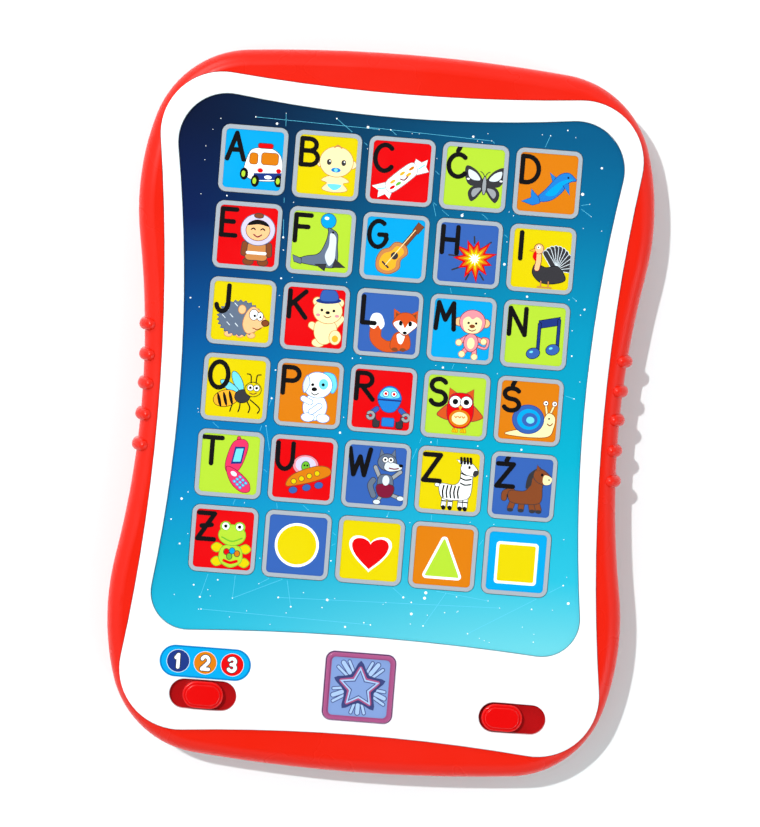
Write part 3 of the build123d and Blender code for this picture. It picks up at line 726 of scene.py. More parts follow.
def guitar(d):
    d.line("brown", 1.3, [(0.8, -2), (6.4, 5.6)], "dark")
    d.area("brown", [(5.4, 5.8), (7, 8.4), (8.8, 7.2), (7, 4.8)], "dark")
    d.blob("tan", [
        (-5.4, -4.2), (-4, -1.2), (-1.6, -0.2), (0.2, 1.6), (3.2, 1), (4.2, -1.6), (2.2, -3.8),
        (1.8, -6.6), (-1.4, -8.4), (-4.8, -7.4),
    ], "brown")
    d.blob("amber", [
        (-4.4, -4.4), (-3.2, -2.2), (-1, -1.2), (0.6, 0.4), (2.4, 0), (3, -1.6), (1, -4), (0.6, -6.2),
        (-1.6, -7.4), (-4, -6.6),
    ])
    d.oval("dark", 0.2, -2.6, 1.2)
    d.line("dark", 0.6, [(-3.4, -4.8), (-1.6, -6.4)])
    d.line("cream", 0.25, [(-2.4, -5.6), (6.2, 6)])


def burst(d):
    for number in range(9):
        angle = math.radians(40 * number + 14)
        tip = (2.2 + 8.2 * math.cos(angle), -1.6 + 7 * math.sin(angle))
        if tip[0] < 9.2 and (tip[0] > -3 or tip[1] < 0):
            foot = (2.2 + 5 * math.cos(angle), -1.6 + 5 * math.sin(angle))
            d.area("dark", stroke([foot, tip], 0.5))
    for reach, inner, ink in (
        (6.6, 3.6, "red"), (5.2, 2.7, "orange"), (3.6, 1.8, "yellow"), (1.9, 0.9, "white"),
    ):
        points = []
        for corner in range(22):
            radius = reach * (1 + 0.13 * math.sin(corner * 2.3)) if corner % 2 else inner
            angle = 2 * math.pi * corner / 22
            points.append((2.2 + radius * math.cos(angle), -1.6 + radius * math.sin(angle)))
        d.area(ink, points, "wine" if ink == "red" else None)


def turkey(d):
    for number in range(11):
        angle = math.radians(-12 + 15 * number)
        tip = (4.6 + 4.6 * math.cos(angle), -1.6 + 5.4 * math.sin(angle))
        d.area("dark", stroke([(4.2, -2.4), tip], 1.5), "pale")
    d.blob("dark", [
        (-1.6, -1.6), (1.6, -2.6), (5.4, -2), (8, -5.8), (4.4, -7.4), (0.2, -7.2), (-2.4, -4.6),
    ], "black")
    d.line("peach", 1.5, [(-1.2, -3), (-0.8, 0), (-1.2, 2.6)], "wine")
    d.oval("peach", -1, 3.2, 1.4, 1.5, edge="wine")
    d.blob("red", [(-2.2, 2.6), (-1.6, 1.6), (-1.8, -0.6), (-2.8, 0.6)])
    d.area("amber", [(-2.2, 3.2), (-3.9, 2.4), (-2.2, 2.2)], "brown")
    d.oval("white", -1.1, 3.7, 0.55)
    d.oval("black", -1.2, 3.7, 0.25)
    for x in (0.4, 2.8):
        d.line("tan", 0.4, [(x, -7), (x, -8.6)])
        d.line("tan", 0.4, [(x - 1, -8.8), (x + 1, -8.8)])


def hedgehog(d):
    points = []
    for corner in range(44):
        reach = 1.14 if corner % 2 else 1
        angle = math.radians(28 + 300 * corner / 43)
        points.append((-0.4 + 6.3 * reach * math.cos(angle), -2 + 5 * reach * math.sin(angle)))
    for x in (-3.6, 0, 3.6):
        d.oval("peach", x, -7.2, 1.2, 0.8, edge="tan")
    d.area("steel", points, "navy")
    d.blob("peach", [
        (1.6, -0.4), (3.6, 1.8), (6, 0.4), (8, -2.6), (6.4, -4.6), (2.6, -6.6), (0.8, -4),
    ], "tan")
    d.oval("peach", 0.2, 0.8, 1.1, 1.3, edge="tan")
    for x, y in ((-4.2, 0.4), (-2.6, -1.8), (-5, -2.2), (-3.4, -4.4), (-1.4, 1.8), (-0.8, -4.6)):
        d.line("pale", 0.25, [(x, y), (x - 0.9, y + 0.9)])
    d.oval("white", 4, -0.6, 1.3, 1.6, edge="dark")
    d.oval("white", 6, -1, 0.9, 1.3, edge="dark")
    d.oval("black", 4.3, -0.9, 0.4)
    d.oval("black", 6.1, -1.2, 0.35)
    d.oval("brown", 7.8, -3, 1.1, 0.9, edge="black")
    d.line("brown", 0.3, [(4, -4.8), (5.4, -5.2), (6.6, -4.6)])


def bear(d):
    for points in ([(1.2, -3.6), (-0.8, -2.4)], [(6, -2.6), (8.2, 0.2)]):
        d.line("cream", 2, points, "tan")
    d.oval("cream", 1.6, -7.8, 1.9, 1.3, edge="tan")
    d.blob("cream", [(0.8, -1.2), (6.2, -1.2), (7, -5), (4.6, -7.8), (2, -7.8), (0.2, -5)], "tan")
    d.oval("cream", 6.8, -5.8, 1.8, 2.2, edge="tan")
    d.oval("amber", 6.8, -6.2, 1, 1.1)
    for x in (0.4, 7.4):
        d.oval("cream", x, 5.2, 1.3, edge="tan")
    d.oval("cream", 3.9, 2.4, 4.5, 3.9, edge="tan")
    d.oval("navy", 3.9, 5.7, 4, 1, turn=4)
    d.blob("royal", [(1.4, 5.8), (1.8, 8.6), (4, 9), (6, 8.7), (6.8, 6.2), (4, 5.5)], "navy")
    for x in (2, 5.8):
        d.oval("black", x, 2.6, 0.45)
    d.oval("black", 3.9, 1.9, 0.7, 0.5)
    d.line("brown", 0.3, [(2.8, 0.8), (3.9, 0.3), (5, 0.8)])
    for x in (0.9, 6.9):
        d.oval("pink", x, 1, 0.7, 0.45)


def fox(d):
    d.line("fox", 3.4, [(-3.8, -1), (-3.6, -5), (-0.6, -7.2), (2.6, -7)], "brown")
    d.blob("white", [
        (-6, -0.8), (-5.2, 2.6), (-2.6, 2.8), (-1.2, -0.2), (-2.2, -2), (-3.2, -0.8), (-4.4, -2),
    ])
    d.blob("fox", [(2.4, -3), (6.4, -3), (7, -7.6), (1.4, -7.8)], "brown")
    d.blob("white", [(3, -3.2), (5.4, -3.2), (4.8, -6), (3.6, -5.8)])
    for x in (2.6, 5.2):
        d.oval("brown", x, -8, 1, 0.6)
    for side in (-1, 1):
        d.area("fox", [(5.4 + side * 3.9, 4.8), (5.4 + side * 0.8, 3), (5.4 + side * 3.6, 0.6)], "brown")
        d.area("brown", [(5.4 + side * 3.3, 3.8), (5.4 + side * 1.7, 2.8), (5.4 + side * 3.1, 1.6)])
    d.blob("fox", [
        (1.4, 0.4), (3.6, 3.4), (7.2, 3.4), (9.2, 0.4), (7.2, -2), (5.4, -3.4), (3.4, -2),
    ], "brown")
    d.blob("white", [
        (1.6, 0.2), (4, 1.2), (5.3, -1), (6.8, 1.2), (9.1, 0.2), (7, -2.2), (5.4, -3.2), (3.6, -2.2),
    ])
    for x in (3.9, 6.9):
        d.oval("black", x, 0.4, 0.6, 0.8)
    d.oval("black", 5.4, -2.6, 0.7, 0.5)


def monkey(d):
    d.line("pink", 0.6, [(5.4, -5), (8, -5.4), (8.6, -2.8), (7, -2.4)], "wine")
    for points in (
        [(1.8, -2.4), (-0.6, -4.2)], [(4.6, -2.6), (7.2, -3.4)], [(2.2, -5.6), (0.6, -7.8)],
        [(4.4, -5.8), (4.6, -8.4)],
    ):
        d.line("pink", 1.3, points, "wine")
        d.oval("cream", points[1][0], points[1][1], 0.9, edge="tan")
    d.oval("pink", 3.2, -4, 2.2, 2.8, edge="wine")
    d.oval("cream", 3.2, -4.2, 1.2, 1.8)
    for x in (-1, 7.4):
        d.oval("peach", x, 2.4, 1.3, edge="wine")
    d.oval("pink", 3.2, 2.6, 4, 3.7, edge="wine")
    d.blob("cream", [
        (0.2, 2.8), (1.8, 4.2), (3.2, 3.4), (4.6, 4.2), (6.2, 2.8), (5.4, -0.4), (3.2, -1), (1, -0.4),
    ])
    for x in (2, 4.4):
        d.oval("black", x, 2.2, 0.4)
    d.oval("brown", 3.2, 1.2, 0.9, 0.6)
    d.line("wine", 0.3, [(2, 0.2), (3.2, -0.3), (4.4, 0.2)])


def musical_notes(d):
    d.area("navy", [(0.9, 4.6), (7.6, 6.2), (7.6, 3.8), (0.9, 2.2)], "black")
    for points in ([(1.2, 3.6), (1.2, -5.6)], [(7.3, 5.2), (7.3, -4)]):
        d.line("navy", 0.8, points, "black")
    for x, y in ((-0.2, -5.8), (5.9, -4.2)):
        d.oval("royal", x, y, 2.1, 1.6, turn=18, edge="black")
    for x, y in ((-0.8, -5.4), (5.3, -3.8)):
        d.oval("aqua", x, y, 0.6, 0.35, turn=18)


def wasp(d):
    for x0, x1 in ((0, -1.2), (1.8, 1.4), (3.6, 4.6), (5, 7.6)):
        d.line("black", 0.4, [(x0, -3.4), (x1 + 0.4, -5.8), (x1, -7.4)])
    d.oval("aqua", 0.6, 2.2, 3.4, 1.3, turn=118, edge="dark")
    d.oval("aqua", -1.8, 0.4, 3.4, 1.1, turn=150, edge="dark")
    d.oval("amber", -2.8, -3.4, 3.9, 2.5, turn=16, edge="black")
    for along in (-4.8, -3, -1.2):
        d.oval("black", along, -3.6 + 0.26 * (along + 2.8), 0.5, 2.3, turn=16)
    d.oval("dark", 2.4, -2.4, 2.4, 2, turn=16, edge="black")
    d.oval("yellow", 5.6, 0, 2.5, 2.2, edge="black")
    for side in (-1, 1):
        d.line("black", 0.35, [(5.6 + side * 0.8, 2), (5.6 + side * 1, 4.4), (5.6 + side * 2.2, 4.8)])
    d.eyes(5.7, 0.5, 1, 0.9)
    d.line("brown", 0.3, [(4.6, -1.2), (5.7, -1.5), (6.8, -1)])


def puppy(d):
    d.oval("white", 2.2, -4, 3.7, 4.2, edge="blue")
    for x in (5, 0.2):
        d.oval("white", x, -7.4, 2, 1.3, edge="blue")
    for points in ([(0.6, -2.6), (-1.6, -1.6)], [(3.6, -3.6), (1.2, -5.6)]):
        d.line("white", 1.6, points, "blue")
    d.blob("aqua", [(4, 6.8), (7.4, 6.6), (8.6, 3.2), (7.4, 0.8), (5.8, 3)], "blue")
    d.oval("white", 2.6, 3, 4.5, 4, edge="blue")
    d.blob("pale", [(-0.8, 5.8), (-2, 3), (-1.4, 0.4), (0, 3.2)], "blue")
    d.oval("aqua", 4.4, 3.4, 1.5, 1.7)
    d.oval("black", 4.3, 3.2, 0.5)
    d.oval("black", 1, 3, 0.5)
    d.oval("black", 1.6, 1.6, 0.9, 0.65)
    d.line("dark", 0.3, [(0.8, 0.4), (1.8, -0.2), (3, 0.4)])


def robot(d):
    for x in (-1.4, 6):
        d.area("dark", rounded_rectangle(x, -7, 2, 3.6, 0.7), "black")
    d.area("red", rounded_rectangle(2.3, -4.4, 7.6, 4.4, 1), "wine")
    d.area("blue", rounded_rectangle(2.3, -7, 3.8, 2.6, 0.4), "navy")
    for side in (-1, 1):
        d.line("royal", 1.3, [(2.3 + side * 3.8, -3), (2.3 + side * 5.2, -4.2)], "navy")
        d.line("grey", 0.8, ellipse(2.3 + side * 5.6, -5.2, 1, start=200, end=500), "dark")
    d.blob("blue", [
        (-1.4, 0.4), (0, 3.4), (2.3, 4.4), (4.6, 3.4), (6, 0.4), (4, -3.4), (0.6, -3.4),
    ], "navy")
    d.blob("aqua", [(-0.8, 1.2), (0.4, 3.4), (2.3, 4), (4.2, 3.4), (5.4, 1.2), (2.3, 0.6)])
    d.line("navy", 0.5, [(-1.2, 0), (5.8, 0)])
    for x in (1, 3.6):
        d.oval("white", x, 2, 0.8, edge="navy")
        d.oval("red", x, 2, 0.45)


def owl(d):
    for x in (0.4, 3):
        for toe in (-0.6, 0, 0.6):
            d.line("yellow", 0.45, [(x, -6.4), (x + toe, -8.2)], "orange")
    wing = [(2.8, 0.8), (6.6, -2.2), (6.8, -3.6), (3, -4.4)]
    for side in (-1, 1):
        d.blob("fox", [(1.6 + side * x, y) for x, y in wing], "wine")
        d.area("fox", [(1.6 + side * 3.8, 5.4), (1.6 + side * 0.8, 3.6), (1.6 + side * 3.9, 1.8)], "wine")
    d.blob("red", [
        (-1.8, 2.6), (1.6, 4), (5, 2.6), (5.6, -3), (3.6, -6.6), (-0.4, -6.6), (-2.4, -3),
    ], "wine")
    d.oval("orange", 1.6, -4, 3.3, 2.7)
    d.oval("cream", 1.6, -4, 2.5, 2)
    d.eyes(1.6, 1.2, 1.75, 1.8)
    d.area("amber", [(1, -0.2), (2.2, -0.2), (1.6, -1.4)], "orange")
    for x in (0.4, 1.6, 2.8):
        d.line("orange", 0.3, [(x - 0.4, -3.4), (x, -3.8), (x + 0.4, -3.4)])


def snail(d):
    for x0, x1 in ((5.8, 5.2), (6.8, 8)):
        d.line("cream", 0.5, [(x0, -0.6), (x1, 2.6)], "brown")
        d.oval("white", x1, 2.9, 0.7, edge="brown")
        d.oval("black", x1 + 0.1, 2.9, 0.3)
    d.blob("cream", [
        (-7, -7.6), (-2, -6), (3.6, -5.8), (5, -2.2), (6.4, -0.2), (8.4, -1.4), (8.2, -4.8),
        (6.6, -7.6), (0, -8.2),
    ], "brown")
    d.oval("royal", 0, -2.6, 4.9, 4.5, edge="navy")
    d.oval("sky", 0.2, -2.6, 3.7, 3.3)
    d.oval("royal", 0.5, -2.7, 2.5, 2.2)
    d.oval("aqua", 0.7, -2.8, 1.3, 1.1)
    d.line("brown", 0.35, [(6.2, -3.6), (7, -4.1), (7.8, -3.4)])
    d.oval("black", 6.6, -1.9, 0.3)


def flip_phone(d):
    d.line("rose", 0.9, [(2.2, 6.6), (2.4, 8.4)], "wine")
    d.blob("rose", [
        (-1.2, 0.4), (0.6, 6.6), (3.6, 8), (5.4, 6.4), (4.4, 1.4), (2.6, -2), (-0.4, -2.6),
    ], "wine")
    d.blob("rose", [(-0.8, -1), (2.8, -2.2), (6.4, -5.4), (6.8, -8.2), (4, -8.4), (0.8, -5.6)], "wine")
    d.area("navy", [(1.4, 5.6), (4.6, 5.8), (3.8, 0.4), (0.4, 0)])
    d.area("aqua", [(1.8, 5), (4.1, 5.2), (3.4, 1), (1, 0.8)])
    d.oval("pale", 1.6, -3, 1.1, 0.7, turn=-30)
    for row in range(3):
        for column in range(3):
            x = 2 + 0.95 * row + 0.85 * column
            y = -5.4 - 0.9 * row + 0.75 * column
            d.oval("aqua", x, y, 0.4, 0.3, turn=-30, edge="blue")


def saucer(d):
    d.oval("pink", 0.8, 1.4, 4, 3.2, edge="wine")
    d.oval("lilac", 0.8, 1.6, 3.2, 2.5)
    d.oval("leaf", 0.8, 1, 1.2, 1.6, edge="dark")
    for x in (0.4, 1.3):
        d.oval("black", x, 1.4, 0.3)
    for x in (-2.6, 1.6, 5.4):
        d.oval("royal", x, -5.6 + 0.26 * (x - 1.6), 1.3, 1, turn=14, edge="wine")
    d.blob("orange", [
        (-4.8, -5.4), (-3.8, -2.6), (0, -0.2), (4.8, 1.4), (8.2, 1), (8.6, -1), (4.2, -3.2), (-1, -4.8),
    ], "brown")
    for x in (-2.6, -0.2, 2.2, 4.6):
        d.oval("yellow", x, -2.9 + 0.42 * (x + 0.2), 0.75, edge="brown")


def wolf(d):
    d.line("steel", 1.6, [(-0.4, -6.4), (-1.6, -3.4), (-0.8, -1.6)], "dark")
    for points in ([(2.4, -5.8), (0.8, -8.4)], [(4.4, -5.6), (8.2, -6.8)]):
        d.line("grey", 1, points, "dark")
        d.oval("pale", points[1][0], points[1][1], 1.1, 0.7, edge="dark")
    for points in ([(1.4, -1), (-0.4, 2.6)], [(4.6, -1), (7.6, 1.6)]):
        d.line("grey", 1.1, points, "dark")
    d.blob("steel", [(1.2, 0), (4.8, 0), (5.4, -3.6), (3.2, -5.4), (0.8, -3.8)], "dark")
    d.blob("wine", [(0.6, -3), (5.6, -3), (5, -6.4), (1.4, -6.4)], "dark")
    d.oval("pale", 3.2, -1.4, 1.1, 1.6)
    for side in (-1, 1):
        d.area("steel", [(3.2 + side * 2.2, 8.6), (3.2 + side * 0.6, 6), (3.2 + side * 2.6, 5.2)], "dark")
    d.oval("steel", 3.2, 4.4, 2.9, 2.6, edge="dark")
    d.blob("pale", [(3.4, 4.6), (7.4, 3.6), (7.6, 2.4), (4.2, 1.6), (2.4, 2.6)], "dark")
    d.oval("black", 7.6, 3.6, 0.7, 0.5)
    d.eyes(3.4, 5.2, 0.9, 0.8)
    d.line("wine", 0.4, [(4, 2.6), (5.6, 2.4), (6.8, 2.7)])


def zebra(d):
    d.line("white", 0.9, [(-2.2, -1.6), (-4, -1.4)], "dark")
    for x in (-1.2, 0.8, 4, 5.6):
        d.line("white", 1.3, [(x, -5), (x - 0.1, -8)], "dark")
        d.line("black", 1.3, [(x - 0.1, -8.4), (x, -8.6)])
        d.line("black", 0.4, [(x - 0.6, -6.4), (x + 0.6, -6.4)])
    d.blob("white", [
        (-2.6, -1), (1.6, -1.2), (3.4, 0.6), (3.8, 4.4), (6.6, 4.6), (7.2, 1), (6.6, -4.6), (3, -5.8),
        (-1.4, -5.6), (-2.8, -3.6),
    ], "dark")
    for x in (-1.6, -0.4, 0.8, 2, 3.2):
        d.line("black", 0.5, [(x, -1.5), (x - 0.3, -3.4), (x, -5.2)])
    for y in (-0.6, 1, 2.6):
        d.line("black", 0.45, [(3.6, y + 0.2), (5, y - 0.3), (6.8, y)])
    d.blob("white", [
        (3.4, 4.2), (4.2, 6.2), (6.4, 6.2), (8.8, 3.8), (8.2, 2.2), (6.4, 2.2), (4.4, 2.8),
    ], "dark")
    d.blob("dark", [(7.6, 3.8), (8.9, 3.8), (8.5, 2.2), (7.3, 2.3)])
    d.area("white", [(3.6, 5.4), (1.8, 7), (4.6, 6.4)], "dark")
    for x in (3.2, 4.2, 5.2, 6.2):
        d.line("black", 0.8, [(x + 0.2, 6), (x, 7.6)])
    d.oval("black", 6, 4.8, 0.4, 0.55)


def horse(d):
    d.line("brown", 1.6, [(-3.2, -1.6), (-5.4, -2.2), (-5.6, -4)], "dark")
    for x0, x1 in ((-2.4, -3.4), (0.2, 0), (2.8, 3.6), (4.6, 5.6)):
        d.line("brown", 1.7, [(x0, -4), (x1, -7)], "dark")
        d.oval("dark", x1, -7.6, 1, 0.6)
    d.blob("brown", [
        (-4, -1.6), (0.6, -1.4), (2.4, 0.8), (3, 4.4), (6, 4), (6.2, 0), (5.8, -4.6), (0.6, -5.4),
        (-3.6, -4.8),
    ], "dark")
    d.blob("dark", [(1, -0.4), (1.4, 3.4), (3, 5.4), (5.2, 6.6), (4.4, 4.8), (3, 3), (2.6, 0.6)])
    d.blob("brown", [
        (3.2, 3.8), (4.2, 6), (6.4, 5.6), (8.8, 3.4), (8.4, 1.6), (6.6, 1.2), (4.4, 2),
    ], "dark")
    d.blob("cream", [(6.8, 4.2), (9, 3.4), (8.6, 1.5), (6.8, 1.2), (6.2, 2.6)])
    d.area("brown", [(4, 5.4), (4.2, 7.2), (5.4, 5.8)], "dark")
    d.oval("black", 5.9, 4.2, 0.4, 0.5)
    d.oval("dark", 8.2, 2.8, 0.25)


def frog(d):
    for side in (-1, 1):
        for x, y in ((4.6, -2.6), (4.4, -7)):
            fin = [(x - 2.2, y), (x, y + 1.4), (x + 1.6, y), (x, y - 1.4)]
            d.blob("yellow", [(2.6 + side * px, py) for px, py in fin], "leaf")
    d.blob("lime", [(-0.4, -2.6), (2.6, -1.6), (5.6, -2.6), (6, -6.6), (2.6, -8.6), (-0.8, -6.6)], "leaf")
    for x, y, ink in ((1.2, -3.8, "red"), (3, -3.4, "sky"), (4.6, -4.2, "orange"), (2.2, -5.2, "leaf")):
        d.oval(ink, x, y, 0.8, 0.9, edge="dark")
    d.line("red", 0.9, [(0.6, -6.6), (2.6, -7.2), (4.6, -6.6)])
    for x in (0.4, 4.8):
        d.oval("lime", x, 4.2, 1.6, 1.5, edge="leaf")
    d.oval("lime", 2.6, 1.6, 4.2, 3.2, edge="leaf")
    for x in (0.4, 4.8):
        d.oval("white", x, 4.3, 1.15, edge="leaf")
        d.oval("black", x, 4.3, 0.55)
    d.line("leaf", 0.4, [(-0.6, 0.8), (2.6, -0.4), (5.8, 0.8)])


def disc_shape(d):
    d.oval("white", 0, 0, 7)
    d.oval("yellow", 0, 0, 6.2)


def heart_shape(d):
    for ink, size in (("white", 1.16), ("red", 1)):
        points = []
        for step in range(64):
            angle = 2 * math.pi * step / 64
            x = 5.85 * math.sin(angle) ** 3
            y = 4.75 * math.cos(angle) - 1.85 * math.cos(2 * angle) - 0.75 * math.cos(3 * angle)
            points.append((size * x, size * (y + 0.4) - 0.6))
        d.area(ink, points)


def triangle_shape(d):
    for ink, reach in (("white", 0.85), ("lime", 0.05)):
        points = []
        for turn, (x, y) in ((-90, (5, -6.1)), (30, (0, 5.2)), (150, (-5, -6.1))):
            for step in range(9):
                angle = math.radians(turn + 15 * step)
                points.append((x + (reach + 0.3) * math.cos(angle), y + (reach + 0.3) * math.sin(angle)))
        d.area(ink, points)


def square_shape(d):
    d.area("white", rounded_rectangle(0, -0.4, 13.4, 13.4, 1.1))
    d.area("yellow", rounded_rectangle(0, -0.4, 11.7, 11.7, 0.6))


PICTURES = {
    "a": ("sky", ambulance),
    "b": ("yellow", baby),
    "c": ("red", candy),
    "c_acute": ("lime", butterfly),
    "d": ("orange", dolphin),
    "e": ("red", hooded_child),
    "f": ("lime", seal),
    "g": ("sky", guitar),
    "h": ("royal", burst),
    "i": ("yellow", turkey),
    "j": ("yellow", hedgehog),
    "k": ("red", bear),
    "l": ("royal", fox),
    "m": ("sky", monkey),
    "n": ("lime", musical_notes),
    "o": ("yellow", wasp),
    "p": ("orange", puppy),
    "r": ("red", robot),
    "s": ("lime", owl),
    "s_acute": ("orange", snail),
    "t": ("lime", flip_phone),
    "u": ("red", saucer),
    "w": ("royal", wolf),
    "z": ("yellow", zebra),
    "z_acute": ("royal", horse),
    "z_dot": ("red", frog),
    "circle": ("royal", disc_shape),
    "heart": ("yellow", heart_shape),
    "triangle": ("orange", triangle_shape),
    "square": ("sky", square_shape),
}


# ---------------------------------------------------------------- meshes
def add_prism(build, outline, bottom, top, slot_index):
    """Adds a closed flat prism to the mesh under construction."""
    first = len(build["points"])
    count = len(outline)
    for z in (bottom, top):
        build["points"] += [(x * MM, y * MM, z * MM) for x, y in outline]
    build["faces"].append([first + count + step for step in range(count)])
    build["faces"].append([first + count - 1 - step for step in range(count)])
    for step in range(count):
        after = (step + 1) % count
        build["faces"].append([first + step, first + after, first + count + after, first + count + step])
    build["slots"] += [slot_index] * (count + 2)


def mesh_object(name, build, materials, body):
    """Makes a piece from points, faces and material numbers, and lets it ride on a body."""
    mesh = bpy.data.meshes.new(name)
    mesh.from_pydata(build["points"], [], build["faces"])
    for made in materials:
        mesh.materials.append(made)
    mesh.polygons.foreach_set("material_index", build["slots"])
    mesh.update()
    piece = bpy.data.objects.new(name, mesh)
    bpy.context.scene.collection.objects.link(piece)
    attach(piece, body)


def print_drawing(name, drawing, base_z, inks, body):
    """Turns a drawing into thin layers of ink, each a little higher than the last."""
    used = []
    build = {"points": [], "faces": [], "slots": []}
    for number, (ink, outline) in enumerate(drawing.shapes):
        if ink not in used:
            used.append(ink)
        top = base_z + BASE_INK + INK_STEP * number
        add_prism(build, outline, top - INK_DEPTH, top, used.index(ink))
    mesh_object(name, build, [inks[ink] for ink in used], body)


def key_box(name):
    """The middle of a key and its top, in millimetres."""
    low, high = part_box("key_" + name)
    middle = (low + high) / 2
    return middle.x / MM, middle.y / MM, high.z / MM


def print_keys(inks):
    """The picture and letter of every key."""
    for name, (ground, picture) in PICTURES.items():
        x, y, top = key_box(name)
        drawing = Drawing(x, y)
        drawing.area(ground, rounded_rectangle(0, 0, FIELD_WIDTH, FIELD_HEIGHT, FIELD_RADIUS))
        picture(drawing)
        if name.partition("_")[0] in LETTERS:
            letter(drawing, name)
        print_drawing("print_" + name, drawing, top - FIELD_DEPTH, inks, "key_" + name)


# ---------------------------------------------------------------- sky of the screen
def in_window(x, y, windows, margin):
    """Whether a point lies over one of the keys."""
    for low, high in windows:
        beside = x < low.x / MM - margin or x > high.x / MM + margin
        if not beside and low.y / MM - margin < y < high.y / MM + margin:
            return True
    return False


def in_screen(x, y, margin):
    """Whether a point lies well inside the hollow sides of the printed screen."""
    low, low_radius = SCREEN_ARCS["bottom"]
    high, high_radius = SCREEN_ARCS["top"]
    side, side_y, side_radius = SCREEN_ARCS["side"]
    if y < low + margin - x**2 / (2 * low_radius) or y > high - margin + x**2 / (2 * high_radius):
        return False
    if abs(x) > side - margin + (y - side_y) ** 2 / (2 * side_radius):
        return False
    corner = abs(x) - CORNER_SIDE + max(y - CORNER_TOP, CORNER_BOTTOM - y, 0)
    return corner < CORNER_REACH - margin


def open_runs(start, end, windows):
    """The parts of a straight line that lie on the screen and between the keys."""
    length = math.dist(start, end)
    steps = int(length / 0.4)
    run, runs = [], []
    for step in range(steps + 1):
        share = step / steps
        x = start[0] + (end[0] - start[0]) * share
        y = start[1] + (end[1] - start[1]) * share
        if in_screen(x, y, 1.5) and not in_window(x, y, windows, 0.5):
            run.append((x, y))
            continue
        if len(run) > 3:
            runs.append((run[0], run[-1]))
        run = []
    if len(run) > 3:
        runs.append((run[0], run[-1]))
    return runs


def print_sky(inks):
    """Small stars, and thin lines that join some of them."""
    chance = random.Random(STAR_SEED)
    windows = [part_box("key_" + name) for name in PICTURES]
    stars = []
    while len(stars) < STAR_COUNT:
        x, y = chance.uniform(-66, 66), chance.uniform(-72, 98)
        size = STAR_SMALLEST + STAR_SPREAD * chance.random() ** 3
        if in_screen(x, y, 2.0) and not in_window(x, y, windows, size + 0.3):
            stars.append((x, y, size))
    lines = Drawing()
    for _ in range(LINE_COUNT):
        start, end = chance.sample(stars, 2)
        if LINE_SHORTEST < math.dist(start[:2], end[:2]) < LINE_LONGEST:
            for first, last in open_runs(start[:2], end[:2], windows):
                lines.area("thread", stroke([first, last], LINE_INK))
    dots = Drawing()
    for x, y, size in stars:
        dots.oval("white", x, y, size)
    sky_inks = dict(inks)
    sky_inks["thread"] = plain_material("ink_thread", srgb(92, 196, 226), 0.4)
    add_wear(sky_inks["thread"], 120.0, 0.3, 0.45)
    layered("print_lines", lines, SCREEN_Z, sky_inks)
    layered("print_stars", dots, SCREEN_Z + 0.004, sky_inks)


def layered(name, drawing, base_z, inks):
    """Prints shapes of one height straight onto the screen."""
    used = []
    build = {"points": [], "faces": [], "slots": []}
    for ink, outline in drawing.shapes:
        if ink not in used:
            used.append(ink)
        add_prism(build, outline, base_z - 0.01, base_z + 0.006, used.index(ink))
    mesh_object(name, build, [inks[ink] for ink in used], "housing")


# ---------------------------------------------------------------- label
def print_label(inks):
    """The pill with the mode numbers."""
    drawing = Drawing(LABEL_X, LABEL_Y)
    reach = (LABEL_LENGTH - LABEL_WIDTH) / 2
    drawing.area("sky", stroke([(-reach, 0), (reach, 0)], LABEL_WIDTH - 2 * LABEL_RIM))
    for number, ink in enumerate(("navy", "orange", "red"), 1):
        x = DISC_PITCH * (number - 2)
        drawing.oval("pale", x, 0, DISC_RADIUS)
        drawing.oval(ink, x, 0, DISC_RADIUS - DISC_RIM)
        left, bottom = x - DIGIT_WIDTH / 2, -DIGIT_HEIGHT / 2
        for digit_ink, width in (("dark", DIGIT_EDGE), ("white", DIGIT_STROKE)):
            for points in DIGITS[str(number)]:
                placed = [(left + px * DIGIT_WIDTH, bottom + py * DIGIT_HEIGHT) for px, py in points]
                drawing.area(digit_ink, stroke(placed, width))
    print_drawing("print_label", drawing, LABEL_TOP - 0.01, inks, "housing")


# ---------------------------------------------------------------- button and sliders
def star_points(reach, inner):
    """A five-pointed star with its first point up."""
    points = []
    for corner in range(10):
        radius = reach if corner % 2 == 0 else inner
        angle = math.radians(90 + 36 * corner)
        points.append((radius * math.cos(angle), radius * math.sin(angle)))
    return points


def print_button(inks):
    """Blue-grey rays in the sunk field of the button, and the face of its star."""
    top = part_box("light_button")[1].z / MM
    field = Drawing(0, BUTTON_Y)
    field.area("frost", rounded_rectangle(0, 0, BUTTON_FIELD, BUTTON_FIELD, 1.4))
    for number in range(5):
        for spread, width in ((0.0, 1.3), (13.0, 0.8), (-13.0, 0.8)):
            angle = math.radians(126 + 72 * number + spread)
            way = (math.cos(angle), math.sin(angle))
            start = [RAY_START * part for part in way]
            end = [max(-RAY_REACH, min(RAY_REACH, RAY_REACH * 1.16 * part)) for part in way]
            field.line("indigo", width + RAY_EDGE, [start, end])
            field.line("mist", width, [start, end])
    field.area("indigo", smooth_loop(star_points(8.6, 5.0), 3))
    print_drawing("print_button_field", field, top - 0.6, inks, "light_button")
    face = Drawing(0, BUTTON_Y)
    for ink, reach, inner in (("mist", 6.6, 3.3), ("indigo", 5.6, 2.7), ("frost", 5.0, 2.35)):
        face.area(ink, star_points(reach, inner))
    print_drawing("print_button_star", face, top - 0.06, inks, "light_button")


